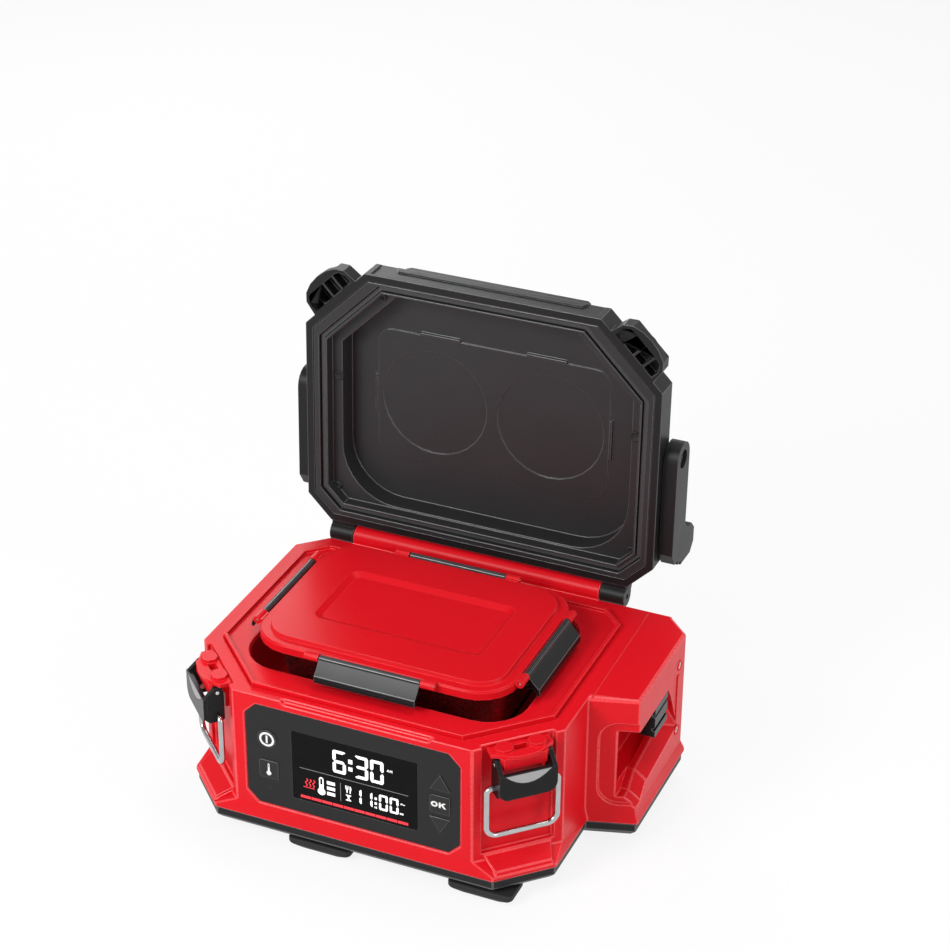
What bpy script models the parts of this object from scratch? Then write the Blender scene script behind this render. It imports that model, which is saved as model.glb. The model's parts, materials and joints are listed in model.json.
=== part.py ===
"""Electric lunch box: a heated well with its food container, a hinged lid, two corner latches, a display
panel and a battery bay. Metres, +Z up, +Y to the back. The plan is drawn about the middle of the body, and
one empty moves the whole model so that its origin is under the middle of its own box."""

import math

import bmesh
import bpy
from mathutils import Matrix, Vector

# Fits between pieces
FIT = 0.0003
OVERLAP = 0.0006
CUT_MARGIN = 0.004

# Body plan and heights
HALF_WIDTH = 0.145
FRONT_REACH = 0.1075
REAR_REACH = 0.113
FRONT_CHAMFER = 0.050
REAR_CHAMFER = 0.020
WALL = 0.0035
SKIRT_LOW = 0.022
SKIRT_EDGE = 0.0255
SKIRT_HIGH = 0.033
SKIRT_FLARE = 0.0025
SKIRT_CORNER_FLARE = 0.014
LEDGE_HEIGHT = 0.1305
TOP_PLATE = 0.0065
DECK_SEAT = 0.0035

# Battery pod on the right side
POD_REACH = 0.036
POD_FRONT = -0.014
POD_FRONT_RAKE = 0.011
POD_CHAMFER = 0.017
BAY_INNER = 0.007
BAY_MOUTH = 0.016
BAY_FRONT_WALL = 0.0125
BAY_OPEN_FROM = 0.021
BAY_REAR = 0.070
BAY_FLOOR = 0.0545
BAY_LOW_FLOOR = 0.043
BAY_ROOF_DOWN = 0.0295
BAY_CEILING = LEDGE_HEIGHT - BAY_ROOF_DOWN
BAY_SLOPE_REAR = 0.061
BAY_SLOPE_HIGH = 0.0140
BAY_SLOPE_LOW = BAY_CEILING - BAY_SLOPE_HIGH
BAY_FLARE = 0.0075
BAY_FLARE_DEPTH = 0.010
GRIP_FROM = 0.0087
GRIP_LOW = 0.038
GRIP_DOWN = 0.0210
GRIP_HIGH = LEDGE_HEIGHT - GRIP_DOWN
GRIP_DEPTH = 0.003
GRIP_ROUND = 0.015
TERMINAL_LENGTH = 0.0265
TERMINAL_HALF_WIDTH = 0.0068
TERMINAL_TOP = 0.0052
TERMINAL_NECK = 0.0025
TERMINAL_NECK_IN = 0.0028
TERMINAL_NECK_OUT = 0.0044
TERMINAL_RAIL = 0.010
TERMINAL_RAIL_IN = 0.0010
TERMINAL_SLAB = 0.0055
BLADE_COUNT = 3
BLADE_THICK = 0.0010
BLADE_DROP = 0.0040
BLADE_LENGTH = 0.018
BLADE_SET = 0.0035
BLADE_PITCH = 0.0042

# Deck, seal lip and heated well
LIP_SIDE = 0.012
LIP_FRONT = 0.0095
LIP_REAR = 0.014
LIP_FRONT_CHAMFER = 0.0497
LIP_REAR_CHAMFER = 0.016
LIP_WIDTH = 0.0025
LIP_HIGH = 0.0035
DECK_HIGH = 0.0010
WELL_FRONT_IN = 0.0345
WELL_REAR_IN = 0.0310
WELL_FRONT = FRONT_REACH - WELL_FRONT_IN
WELL_REAR = REAR_REACH - WELL_REAR_IN
WELL_Y = (WELL_REAR - WELL_FRONT) / 2
WELL_SIDE = 0.0355
WELL_HALF_X = HALF_WIDTH - WELL_SIDE
WELL_HALF_Y = (WELL_REAR + WELL_FRONT) / 2
WELL_ROUND = 0.030
WELL_DEEP = 0.0375
WELL_FLOOR = LEDGE_HEIGHT - WELL_DEEP
WELL_DRAFT = 0.0055
WELL_FILLET = 0.0035
WELL_WALL = 0.003
POCKET_IN_X = 0.0245
POCKET_IN_Y = 0.0175
POCKET_HALF_X = WELL_HALF_X - POCKET_IN_X
POCKET_HALF_Y = WELL_HALF_Y - POCKET_IN_Y
POCKET_DRAFT = 0.0035
POCKET_ROUND = 0.018
PLATE_DOWN = 0.0100
PLATE_TOP = WELL_FLOOR - PLATE_DOWN
PLATE_THICK = 0.003
PLATE_RIM = 0.0035
HEATER_THICK = 0.0012
PAD_THICK = 0.008
SENSOR_RADIUS = 0.0045
SENSOR_HIGH = 0.006
NOTCH_HALF = 0.060
NOTCH_MIDDLE = 0.0035
NOTCH_DEEP = 0.004
NOTCH_LOW = 0.003

# Base tray and feet
TRAY_BOTTOM = 0.010
TRAY_INSET = 0.0015
TRAY_CHAMFER = 0.0045
TRAY_WALL = 0.0035
FOOT_SIDE = 0.0450
FOOT_X = (-0.029, HALF_WIDTH - FOOT_SIDE)
FOOT_FRONT_IN = 0.0135
FOOT_REAR_IN = 0.0190
FOOT_Y = (FOOT_FRONT_IN - FRONT_REACH, REAR_REACH - FOOT_REAR_IN)
FOOT_HALF_X = 0.0255
FOOT_HALF_Y = 0.0130
FOOT_SOLE_X = 0.0175
FOOT_SOLE_Y = 0.0085
FOOT_SHOULDER = 0.005

# Display panel
PANEL_SIDE = 0.0100
PANEL_HALF_X = HALF_WIDTH - FRONT_CHAMFER - PANEL_SIDE
PANEL_LOW = 0.0357
PANEL_DOWN = 0.0087
PANEL_HIGH = LEDGE_HEIGHT - PANEL_DOWN
PANEL_CHAMFER = 0.009
PANEL_RECESS = 0.0012
PANEL_BEVEL = 0.0014
BEZEL_FLANGE = 0.0018
BEZEL_FLANGE_THICK = 0.002
WINDOW_X = 0.0018
WINDOW_DROP = 0.00195
WINDOW_Z = (PANEL_LOW + PANEL_HIGH) / 2 - WINDOW_DROP
WINDOW_SIDE = 0.0352
WINDOW_HALF_X = PANEL_HALF_X - WINDOW_SIDE
WINDOW_BORDER = 0.01355
WINDOW_HALF_Z = (PANEL_HIGH - PANEL_LOW) / 2 - WINDOW_BORDER
WINDOW_THICK = 0.0012
WINDOW_LEDGE = 0.002
MODULE_THICK = 0.005
BOARD_SIDE = 0.0050
BOARD_HALF_X = PANEL_HALF_X - BOARD_SIDE
SWITCH_HALF = 0.003
BOARD_EDGE = 0.0045
BOARD_HALF_Z = WINDOW_HALF_Z + BOARD_EDGE
BOARD_THICK = 0.0016
BUTTON_PROUD = 0.0008
BUTTON_TRAVEL = 0.0012
BUTTON_FLANGE = 0.0012
BUTTON_FLANGE_THICK = 0.0014
POWER_SIDE = 0.0170
POWER_UP = 0.0168
POWER_AT = (POWER_SIDE - PANEL_HALF_X, WINDOW_Z + POWER_UP)
POWER_RADIUS = 0.0078
TEMPERATURE_SIDE = 0.0178
TEMPERATURE_DOWN = 0.0098
TEMPERATURE_AT = (TEMPERATURE_SIDE - PANEL_HALF_X, WINDOW_Z - TEMPERATURE_DOWN)
KEY_HALF = 0.0078
KEY_ROUND = 0.0012
ARROW_SIDE = 0.0153
ARROW_X = PANEL_HALF_X - ARROW_SIDE
UP_RISE = 0.0183
UP_Z = WINDOW_Z + UP_RISE
OK_DOWN = 0.0009
OK_Z = WINDOW_Z - OK_DOWN
DOWN_DROP = 0.0191
DOWN_Z = WINDOW_Z - DOWN_DROP
ARROW_HALF = 0.0082
ARROW_HIGH = 0.0135

# Corner latches, each in its own corner frame: X along the chamfer, Y inwards, Z up
RECESS_HALF = 0.028
RECESS_DEPTH = 0.004
SILL_TOP = 0.0385
SILL_HALF_TOP = 0.0275
SILL_HALF_LOW = 0.0222
SILL_REACH = 0.0122
SILL_EDGE_HIGH = 0.0292
SHELF_DOWN = 0.0055
SHELF_LOW = LEDGE_HEIGHT - SHELF_DOWN
SHELF_THICK = 0.0028
SHELF_HALF = 0.0235
SHELF_SIDE_REACH = 0.0055
SHELF_REACH = 0.0143
BLOCK_HALF = 0.0180
BLOCK_REACH = 0.0120
BLOCK_DOWN = 0.0140
BLOCK_LOW = LEDGE_HEIGHT - BLOCK_DOWN
BRACKET_DOWN = 0.0265
BRACKET_LOW = LEDGE_HEIGHT - BRACKET_DOWN
BRACKET_BACK = 0.004
LUG_AT = 0.0125
LUG_HALF = 0.0062
LUG_HIGH = 0.0024
SLOT_HALF = 0.0055
SLOT_DEEP = 0.006
LEVER_HALF = 0.0222
LEVER_PIN_REACH = 0.007
LEVER_PIN_DOWN = 0.0105
LEVER_PIN_Z = LEDGE_HEIGHT - LEVER_PIN_DOWN
LEVER_PIN_RADIUS = 0.0015
LEVER_HEAD = 0.0045
ARM_THICK = 0.0034
ARM_BACK = 0.0022
LEVER_DOWN = 0.0360
LEVER_LOW = LEDGE_HEIGHT - LEVER_DOWN
LEVER_FACE_DOWN = 0.0145
LEVER_FACE_TOP = LEDGE_HEIGHT - LEVER_FACE_DOWN
LEVER_FACE_REACH = 0.0182
LEVER_FACE_THICK = 0.0032
LEVER_CORNER = 0.008
INLAY_HALF = 0.0175
INLAY_TOP = 0.0008
INLAY_DROP = 0.0085
INLAY_DEEP = 0.0008
BAIL_RADIUS = 0.0022
BAIL_PIVOT_DOWN = 0.0305
BAIL_PIVOT_Z = LEDGE_HEIGHT - BAIL_PIVOT_DOWN
BAIL_HALF = 0.0273
BAIL_LENGTH = 0.0415
BAIL_BEND = 0.0085
BAIL_SHOULDER = 0.0045

# Hinge
HINGE_OUT = 0.0075
HINGE_Y = REAR_REACH + HINGE_OUT
HINGE_RISE = 0.0040
HINGE_Z = LEDGE_HEIGHT + HINGE_RISE
BARREL_RADIUS = 0.008
BARREL_SIDE = 0.0410
BARREL_HALF = HALF_WIDTH - BARREL_SIDE
KNUCKLE_WIDTH = 0.0205
HINGE_PIN_RADIUS = 0.002
OPEN_ANGLE = 91.5

# Lid
LID_REAR_IN = 0.0030
LID_REAR = REAR_REACH - LID_REAR_IN
LID_BAND = 0.0212
LID_HIGH = 0.0385
LID_SHOULDER = 0.0085
LID_SHOULDER_INSET = 0.005
LID_TOP_INSET = 0.012
LID_WALL = 0.003
LID_RIM = 0.006
LID_ROOF = 0.0033
BAR_SIDE = 0.0200
BAR_HALF = HALF_WIDTH - FRONT_CHAMFER - BAR_SIDE
BAR_LOW = 0.028
BAR_HIGH = 0.0355
BAR_INSET = 0.0045
BAR_CUT = 0.0035
PANEL_TOP_INSET = 0.024
PANEL_TOP_DEEP = 0.0015
LINER_INSET = 0.0063
LINER_BOX_INSET = 0.013
LINER_FLANGE = 0.007
LINER_SHELF = 0.0105
LINER_CEILING = 0.0275
LINER_ROOF = 0.0022
DEEP_SIDE = 0.0260
DEEP_HALF = HALF_WIDTH - DEEP_SIDE
DEEP_FRONT_IN = 0.0195
DEEP_FRONT = FRONT_REACH - DEEP_FRONT_IN
DEEP_REAR_IN = 0.0210
DEEP_REAR = REAR_REACH - DEEP_REAR_IN
DEEP_FRONT_CUT = 0.0455
DEEP_REAR_ROUND = 0.045
GROOVE_CLEAR = 0.0010
GROOVE_WALL = 0.0018
GROOVE_HIGH = 0.0062
GASKET_THICK = 0.0024
RAISED_SIDE = 0.0230
RAISED_HALF_X = DEEP_HALF - RAISED_SIDE
RAISED_FRONT_IN = 0.0352
RAISED_FRONT = DEEP_FRONT - RAISED_FRONT_IN
RAISED_REAR_IN = 0.0370
RAISED_REAR = DEEP_REAR - RAISED_REAR_IN
RAISED_ROUND = 0.012
RAISED_THICK = 0.0009
RING_X = RAISED_HALF_X / 2
RING_SHIFT = 0.0019
RING_Y = (RAISED_REAR - RAISED_FRONT) / 2 + RING_SHIFT
RING_GAP = 0.0045
RING_RADIUS = min(RING_X, (RAISED_FRONT + RAISED_REAR) / 2) - RING_GAP
CLIP_LENGTH = 0.033
CLIP_X = 0.0437
CLIP_THICK = 0.0024
CLIP_DROP = 0.0022
CATCH_HALF = 0.0243
CATCH_REACH = 0.0213
CATCH_HIGH = 0.012
CATCH_WALL = 0.003
CATCH_HOLLOW_REACH = 0.0142
CATCH_HOLLOW_HIGH = 0.0095
CATCH_RIB = 0.0016
CATCH_LEDGE = 0.0061
LEDGE_REACH = 0.0173

# Carry handle, folded back against the lid
HANDLE_GAP = 0.0008
HANDLE_REACH = 0.012
HANDLE_Y = 0.0035
HANDLE_HIGH = 0.022
HANDLE_HALF = 0.0135
HANDLE_REAR_IN = 0.0120
HANDLE_REAR = LID_REAR - HANDLE_REAR_IN
HANDLE_LEG = 0.026
HANDLE_TOP = 0.058
HANDLE_CUT = 0.007
HANDLE_STEP = 0.0035
GRIP_BAR_HIGH = 0.0165
GRIP_BAR_DEEP = 0.022
GRIP_BAR_CUT = 0.005
PIVOT_RADIUS = 0.004
PIVOT_HEAD_RADIUS = 0.0066
PIVOT_HEAD_HIGH = 0.0022
PIVOT_RECESS_RADIUS = 0.0075
PIVOT_RECESS_DEEP = 0.005

# Food container
TUB_BASE_IN_X = 0.0260
TUB_BASE_IN_Y = 0.0190
TUB_BASE_X = WELL_HALF_X - TUB_BASE_IN_X
TUB_BASE_Y = WELL_HALF_Y - TUB_BASE_IN_Y
TUB_FLARE = 0.0085
TUB_TOP_X = TUB_BASE_X + TUB_FLARE
TUB_TOP_Y = TUB_BASE_Y + TUB_FLARE
TUB_ROUND = 0.026
TUB_FOOT = 0.010
TUB_WALL = 0.0012
RIM_RISE = 0.0165
RIM_Z = LEDGE_HEIGHT + RIM_RISE
RIM_RADIUS = 0.0018
RIM_OUT = 0.0052
RIM_X = TUB_TOP_X + RIM_OUT
COVER_OUT_X = 0.0048
COVER_OUT_Y = 0.0085
COVER_X = RIM_X + COVER_OUT_X
COVER_Y = TUB_TOP_Y + COVER_OUT_Y
COVER_ROUND = 0.030
COVER_WALL = 0.0026
COVER_LAP = 0.0015
COVER_LOW = RIM_Z - COVER_LAP
COVER_SIDE_HIGH = 0.0070
COVER_SHOULDER = COVER_LOW + COVER_SIDE_HIGH
COVER_CROWN = 0.0030
COVER_TOP = COVER_SHOULDER + COVER_CROWN
COVER_STEP = 0.0075
COVER_THICK = 0.0026
RECESS_IN_X = 0.0340
RECESS_IN_Y = 0.0395
RECESS_X = COVER_X - RECESS_IN_X
RECESS_Y = COVER_Y - RECESS_IN_Y
RECESS_ROUND = 0.008
RECESS_DROP = 0.0022
RECESS_SLOPE = 0.005
SEAL_WIDTH = 0.0032
SEAL_THICK = 0.0016
CLAMP_HALF = 0.040
CLAMP_AXIS_OUT = 0.003
CLAMP_AXIS_DOWN = 0.0040
CLAMP_AXIS_Z = COVER_TOP - CLAMP_AXIS_DOWN
CLAMP_BARREL = 0.0026
CLAMP_DROP = 0.018
CLAMP_PLATE = 0.0026
CLAMP_PLATE_OUT = 0.0020
CLAMP_HOOK_HALF = 0.0060
CLAMP_HOOK_AT = 0.033
CLAMP_HOOK_THICK = 0.0026
CLAMP_HOOK_IN = 0.007
KNUCKLE_GAP = 0.0004
COVER_KNUCKLE = 0.011
COVER_KNUCKLE_RADIUS = 0.0032
CLAMP_PIN_RADIUS = 0.001
CLAMP_FLARE = 35
REAR_CLAMP_FLARE = 20

ARC_STEPS = 6
ROUND_SIDES = 20

ROOT = math.radians(45)
FRONT_VIEW = Matrix.Rotation(math.pi / 2, 4, "X")
SIDE_VIEW = Matrix(((0, 0, 1, 0), (1, 0, 0, 0), (0, 1, 0, 0), (0, 0, 0, 1)))


# Scene, collections and materials

for old in list(bpy.data.objects):
    bpy.data.objects.remove(old, do_unlink=True)


def new_collection(name):
    made = bpy.data.collections.new(name)
    bpy.context.scene.collection.children.link(made)
    return made


PARTS = new_collection("Electric lunch box")
CUTTERS = new_collection("Cutters")
CUTTERS.hide_render = True


def plain_material(name, colour, roughness, metallic=0.0):
    made = bpy.data.materials.new(name)
    made.use_nodes = True
    shader = made.node_tree.nodes["Principled BSDF"]
    shader.inputs["Base Color"].default_value = (*colour, 1.0)
    shader.inputs["Roughness"].default_value = roughness
    shader.inputs["Metallic"].default_value = metallic
    return made


RED = (0.72, 0.012, 0.018)
BLACK = (0.016, 0.017, 0.018)
STEEL = (0.62, 0.62, 0.60)
FINISHES = {
    "red_plastic": (RED, 0.38),
    "black_plastic": (BLACK, 0.42),
    "matte_black": ((0.022, 0.023, 0.025), 0.6),
    "black_rubber": ((0.012, 0.012, 0.012), 0.75),
    "display_glass": ((0.004, 0.004, 0.005), 0.08),
    "brushed_steel": (STEEL, 0.32, 1.0),
    "bright_steel": ((0.75, 0.75, 0.74), 0.18, 1.0),
    "amber_plate": ((0.78, 0.36, 0.03), 0.35),
    "silver_inlay": ((0.50, 0.50, 0.49), 0.5, 0.6),
    "green_board": ((0.01, 0.12, 0.05), 0.5),
    "heater_film": ((0.45, 0.20, 0.05), 0.4),
    "insulation": ((0.55, 0.53, 0.48), 0.9),
    "copper": ((0.72, 0.38, 0.2), 0.3, 1.0),
    "grey_seal": ((0.08, 0.08, 0.08), 0.8),
}


# Outlines, in plan or in a view's own plane


def octagon(half_width, front, rear, front_chamfer, rear_chamfer):
    """Corners of a chamfered rectangle, anticlockwise from the front left."""
    return [
        (-half_width + front_chamfer, -front),
        (half_width - front_chamfer, -front),
        (half_width, -front + front_chamfer),
        (half_width, rear - rear_chamfer),
        (half_width - rear_chamfer, rear),
        (-half_width + rear_chamfer, rear),
        (-half_width, rear - rear_chamfer),
        (-half_width, -front + front_chamfer),
    ]


def lid_octagon(inset):
    """The lid's outline moved in by the same amount on every side."""
    shrink = inset * (2 - math.sqrt(2))
    return octagon(
        HALF_WIDTH - inset,
        FRONT_REACH - inset,
        LID_REAR - inset,
        FRONT_CHAMFER - shrink,
        REAR_CHAMFER - shrink,
    )


def lip_octagon(inset):
    shrink = inset * (2 - math.sqrt(2))
    return octagon(
        HALF_WIDTH - LIP_SIDE - inset,
        FRONT_REACH - LIP_FRONT - inset,
        REAR_REACH - LIP_REAR - inset,
        LIP_FRONT_CHAMFER - shrink,
        LIP_REAR_CHAMFER - shrink,
    )


def body_outline(grow, corner_grow):
    """Outer plan of the body with its pod. The front chamfers move out by their own amount."""
    half = HALF_WIDTH + grow
    front = FRONT_REACH + grow
    rear = REAR_REACH + grow
    leg = FRONT_CHAMFER + 2 * grow - corner_grow * math.sqrt(2)
    return [
        (-half + leg, -front),
        (half - leg, -front),
        (half, -front + leg),
        (half, POD_FRONT - grow / 2),
        (half + POD_REACH, POD_FRONT + POD_FRONT_RAKE - grow / 2),
        (half + POD_REACH, rear - POD_CHAMFER),
        (half + POD_REACH - POD_CHAMFER, rear),
        (-half + REAR_CHAMFER, rear),
        (-half, rear - REAR_CHAMFER),
        (-half, -front + leg),
    ]


def box(low_x, high_x, low_y, high_y):
    return [(low_x, low_y), (high_x, low_y), (high_x, high_y), (low_x, high_y)]


def arc(centre, radius, start, end, steps=ARC_STEPS):
    """Points along an arc, angles in degrees."""
    points = []
    for step in range(steps + 1):
        angle = math.radians(start + (end - start) * step / steps)
        points.append((centre[0] + radius * math.cos(angle), centre[1] + radius * math.sin(angle)))
    return points


def circle(centre, radius, sides=ROUND_SIDES):
    return arc(centre, radius, 0, 360 * (sides - 1) / sides, sides - 1)


def rounded_box(half_x, half_y, radius, centre=(0.0, 0.0), steps=ARC_STEPS):
    """A rectangle with round corners, anticlockwise from its lower right corner."""
    x, y = centre
    points = []
    for turn, (side_x, side_y) in enumerate(((1, -1), (1, 1), (-1, 1), (-1, -1))):
        corner = (x + side_x * (half_x - radius), y + side_y * (half_y - radius))
        points += arc(corner, radius, 90 * turn - 90, 90 * turn, steps)
    return points


def chamfered_box(low_x, high_x, low_y, high_y, cut):
    return [
        (low_x + cut, low_y),
        (high_x - cut, low_y),
        (high_x, low_y + cut),
        (high_x, high_y - cut),
        (high_x - cut, high_y),
        (low_x + cut, high_y),
        (low_x, high_y - cut),
        (low_x, low_y + cut),
    ]


def grown_panel(grow):
    cut = PANEL_CHAMFER + grow * (2 - math.sqrt(2))
    half = PANEL_HALF_X + grow
    return chamfered_box(-half, half, PANEL_LOW - grow, PANEL_HIGH + grow, cut)


def mirrored(points):
    """The points and their mirror image across X = 0, as one outline."""
    return points + [(-x, y) for x, y in reversed(points)]


# Solids


def tidy(mesh):
    work = bmesh.new()
    work.from_mesh(mesh)
    bmesh.ops.remove_doubles(work, verts=work.verts, dist=1e-6)
    bmesh.ops.recalc_face_normals(work, faces=work.faces)
    work.to_mesh(mesh)
    work.free()


def mesh_of_curve(obj):
    """Turns a curve object into a mesh object at the same place."""
    bpy.context.view_layer.update()
    graph = bpy.context.evaluated_depsgraph_get()
    mesh = bpy.data.meshes.new_from_object(obj.evaluated_get(graph))
    tidy(mesh)
    solid = bpy.data.objects.new(obj.name + " mesh", mesh)
    solid.matrix_world = obj.matrix_world.copy()
    CUTTERS.objects.link(solid)
    name = obj.name
    bpy.data.objects.remove(obj, do_unlink=True)
    solid.name = name
    return solid


def without_straights(outline):
    """The outline without points that lie on the line between their neighbours."""
    kept = []
    for i, (x, y) in enumerate(outline):
        ax, ay = outline[i - 1]
        bx, by = outline[(i + 1) % len(outline)]
        if abs((x - ax) * (by - ay) - (y - ay) * (bx - ax)) > 1e-9:
            kept.append((x, y))
    return kept


def prism(name, outlines, low, high, view=None):
    """An outline, with any further outlines as holes, extruded from low to high along the view's Z."""
    if not isinstance(outlines[0], list):
        outlines = [outlines]
    curve = bpy.data.curves.new(name, "CURVE")
    curve.dimensions = "2D"
    curve.fill_mode = "BOTH"
    curve.extrude = (high - low) / 2
    for outline in map(without_straights, outlines):
        spline = curve.splines.new("POLY")
        spline.points.add(len(outline) - 1)
        for point, (x, y) in zip(spline.points, outline):
            point.co = (x, y, 0, 1)
        spline.use_cyclic_u = True
    obj = bpy.data.objects.new(name, curve)
    CUTTERS.objects.link(obj)
    obj.matrix_world = (view or Matrix()) @ Matrix.Translation((0, 0, (low + high) / 2))
    return mesh_of_curve(obj)


def loft(name, rings, view=None):
    """A solid through rings of (outline, height), each with as many points, closed at both ends."""
    work = bmesh.new()
    rows = []
    for outline, height in rings:
        rows.append([work.verts.new((x, y, height)) for x, y in outline])
    count = len(rows[0])
    for low, high in zip(rows, rows[1:]):
        for i in range(count):
            j = (i + 1) % count
            work.faces.new((low[i], low[j], high[j], high[i]))
    work.faces.new(list(reversed(rows[0])))
    work.faces.new(rows[-1])
    mesh = bpy.data.meshes.new(name)
    bmesh.ops.recalc_face_normals(work, faces=work.faces)
    work.to_mesh(mesh)
    work.free()
    obj = bpy.data.objects.new(name, mesh)
    obj.matrix_world = view or Matrix()
    CUTTERS.objects.link(obj)
    return obj


def wire(name, points, radius, view=None):
    """A round wire along a path, with closed ends."""
    curve = bpy.data.curves.new(name, "CURVE")
    curve.dimensions = "3D"
    curve.bevel_depth = radius
    curve.bevel_resolution = 2
    curve.use_fill_caps = True
    spline = curve.splines.new("POLY")
    spline.points.add(len(points) - 1)
    for point, place in zip(spline.points, points):
        point.co = (*place, 1)
    obj = bpy.data.objects.new(name, curve)
    CUTTERS.objects.link(obj)
    obj.matrix_world = view or Matrix()
    return mesh_of_curve(obj)


def rod(name, radius, low, high, view, sides=ROUND_SIDES):
    """A cylinder along the view's Z axis."""
    mesh = bpy.data.meshes.new(name)
    work = bmesh.new()
    bmesh.ops.create_cone(
        work, cap_ends=True, segments=sides, radius1=radius, radius2=radius, depth=high - low
    )
    work.to_mesh(mesh)
    work.free()
    obj = bpy.data.objects.new(name, mesh)
    obj.matrix_world = view @ Matrix.Translation((0, 0, (low + high) / 2))
    CUTTERS.objects.link(obj)
    return obj


def combine(target, other, operation):
    """Cuts or joins another solid, which stays as a hidden helper."""
    other.display_type = "WIRE"
    other.hide_render = True
    modifier = target.modifiers.new(other.name, "BOOLEAN")
    modifier.operation = operation
    modifier.solver = "EXACT"
    modifier.object = other


def cut(target, *others):
    for other in others:
        combine(target, other, "DIFFERENCE")


def join(target, *others):
    for other in others:
        combine(target, other, "UNION")


MATERIALS = {name: plain_material(name, *finish) for name, finish in FINISHES.items()}


def part(obj, material, parent, origin=None):
    """Makes a solid one of the object's parts, with its origin where it turns or slides."""
    CUTTERS.objects.unlink(obj)
    PARTS.objects.link(obj)
    obj.data.materials.clear()
    obj.data.materials.append(MATERIALS[material])
    if origin is not None:
        shift = obj.matrix_world.inverted() @ Matrix.Translation(origin)
        obj.data.transform(shift.inverted())
        obj.matrix_world = Matrix.Translation(origin)
    placed = obj.matrix_world.copy()
    for modifier in obj.modifiers:
        if modifier.type == "BOOLEAN":
            modifier.object.parent = obj
            modifier.object.matrix_parent_inverse = placed.inverted()
    obj.parent = parent
    return obj


def empty(name, place=(0, 0, 0), parent=None):
    made = bpy.data.objects.new(name, None)
    PARTS.objects.link(made)
    made.location = place
    made.parent = parent
    return made


# The model's own box at rest, which places its origin
RIGHT_EXTREME = HALF_WIDTH + POD_REACH + SKIRT_FLARE
LEFT_EXTREME = HALF_WIDTH + HANDLE_REACH
FRONT_EXTREME = FRONT_REACH - FRONT_CHAMFER / 2 + (LEVER_FACE_REACH + LEVER_HALF) / math.sqrt(2)
LID_BASE = LEDGE_HEIGHT + FIT
OPEN = math.radians(OPEN_ANGLE)
BAR_REACH = LID_BASE + HANDLE_TOP - HINGE_Z
BAR_FRONT = HINGE_Y - HANDLE_REAR + HANDLE_LEG - HANDLE_CUT
REAR_EXTREME = HINGE_Y + BAR_REACH * math.sin(OPEN) - BAR_FRONT * math.cos(OPEN)
ORIGIN = Vector(((LEFT_EXTREME - RIGHT_EXTREME) / 2, (FRONT_EXTREME - REAR_EXTREME) / 2, 0))

root = empty("lunch_box", ORIGIN)


# Housing


def corner_view(side):
    """Frame of one front chamfer: origin on its middle at Z = 0, Y pointing inwards."""
    middle = FRONT_CHAMFER / 2
    place = Matrix.Translation((side * (HALF_WIDTH - middle), -FRONT_REACH + middle, 0))
    return place @ Matrix.Rotation(side * ROOT, 4, "Z")


def pivot_view(side, height):
    """Frame of a latch pin or bail at this height: Z along the pin."""
    place = Matrix.Translation((0, -LEVER_PIN_REACH, height))
    return corner_view(side) @ place @ Matrix.Rotation(math.pi / 2, 4, "Y")


def latch_recess(side):
    outline = box(-RECESS_HALF, RECESS_HALF, -CUT_MARGIN, RECESS_DEPTH)
    return prism(f"latch recess {side}", outline, SILL_TOP, LEDGE_HEIGHT + CUT_MARGIN, corner_view(side))


def latch_sill(side):
    """The sloping foot of the recess, which runs out into the skirt."""
    back = RECESS_DEPTH + OVERLAP
    low = box(-SILL_HALF_LOW, SILL_HALF_LOW, -SKIRT_CORNER_FLARE + OVERLAP / 2, back)
    edge = box(-SILL_HALF_LOW, SILL_HALF_LOW, -SILL_REACH, back)
    top = box(-SILL_HALF_TOP, SILL_HALF_TOP, RECESS_DEPTH - OVERLAP / 2, back)
    rings = [(low, SKIRT_LOW + OVERLAP), (low, SKIRT_EDGE), (edge, SILL_EDGE_HIGH), (top, SILL_TOP + OVERLAP)]
    return loft(f"latch sill {side}", rings, corner_view(side))


def bay_profile(grow):
    """Side view of the battery bay: Y along, Z up."""
    past = POD_FRONT - CUT_MARGIN
    low = BAY_LOW_FLOOR - grow
    floor = BAY_FLOOR - grow
    return [
        (past, low),
        (POD_FRONT + BAY_OPEN_FROM, low),
        (POD_FRONT + BAY_OPEN_FROM + floor - low, floor),
        (BAY_REAR + 2 * grow, floor + 0.1 * BAY_REAR),
        (BAY_REAR, BAY_SLOPE_LOW),
        (BAY_SLOPE_REAR, BAY_CEILING),
        (past, BAY_CEILING),
    ]


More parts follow.
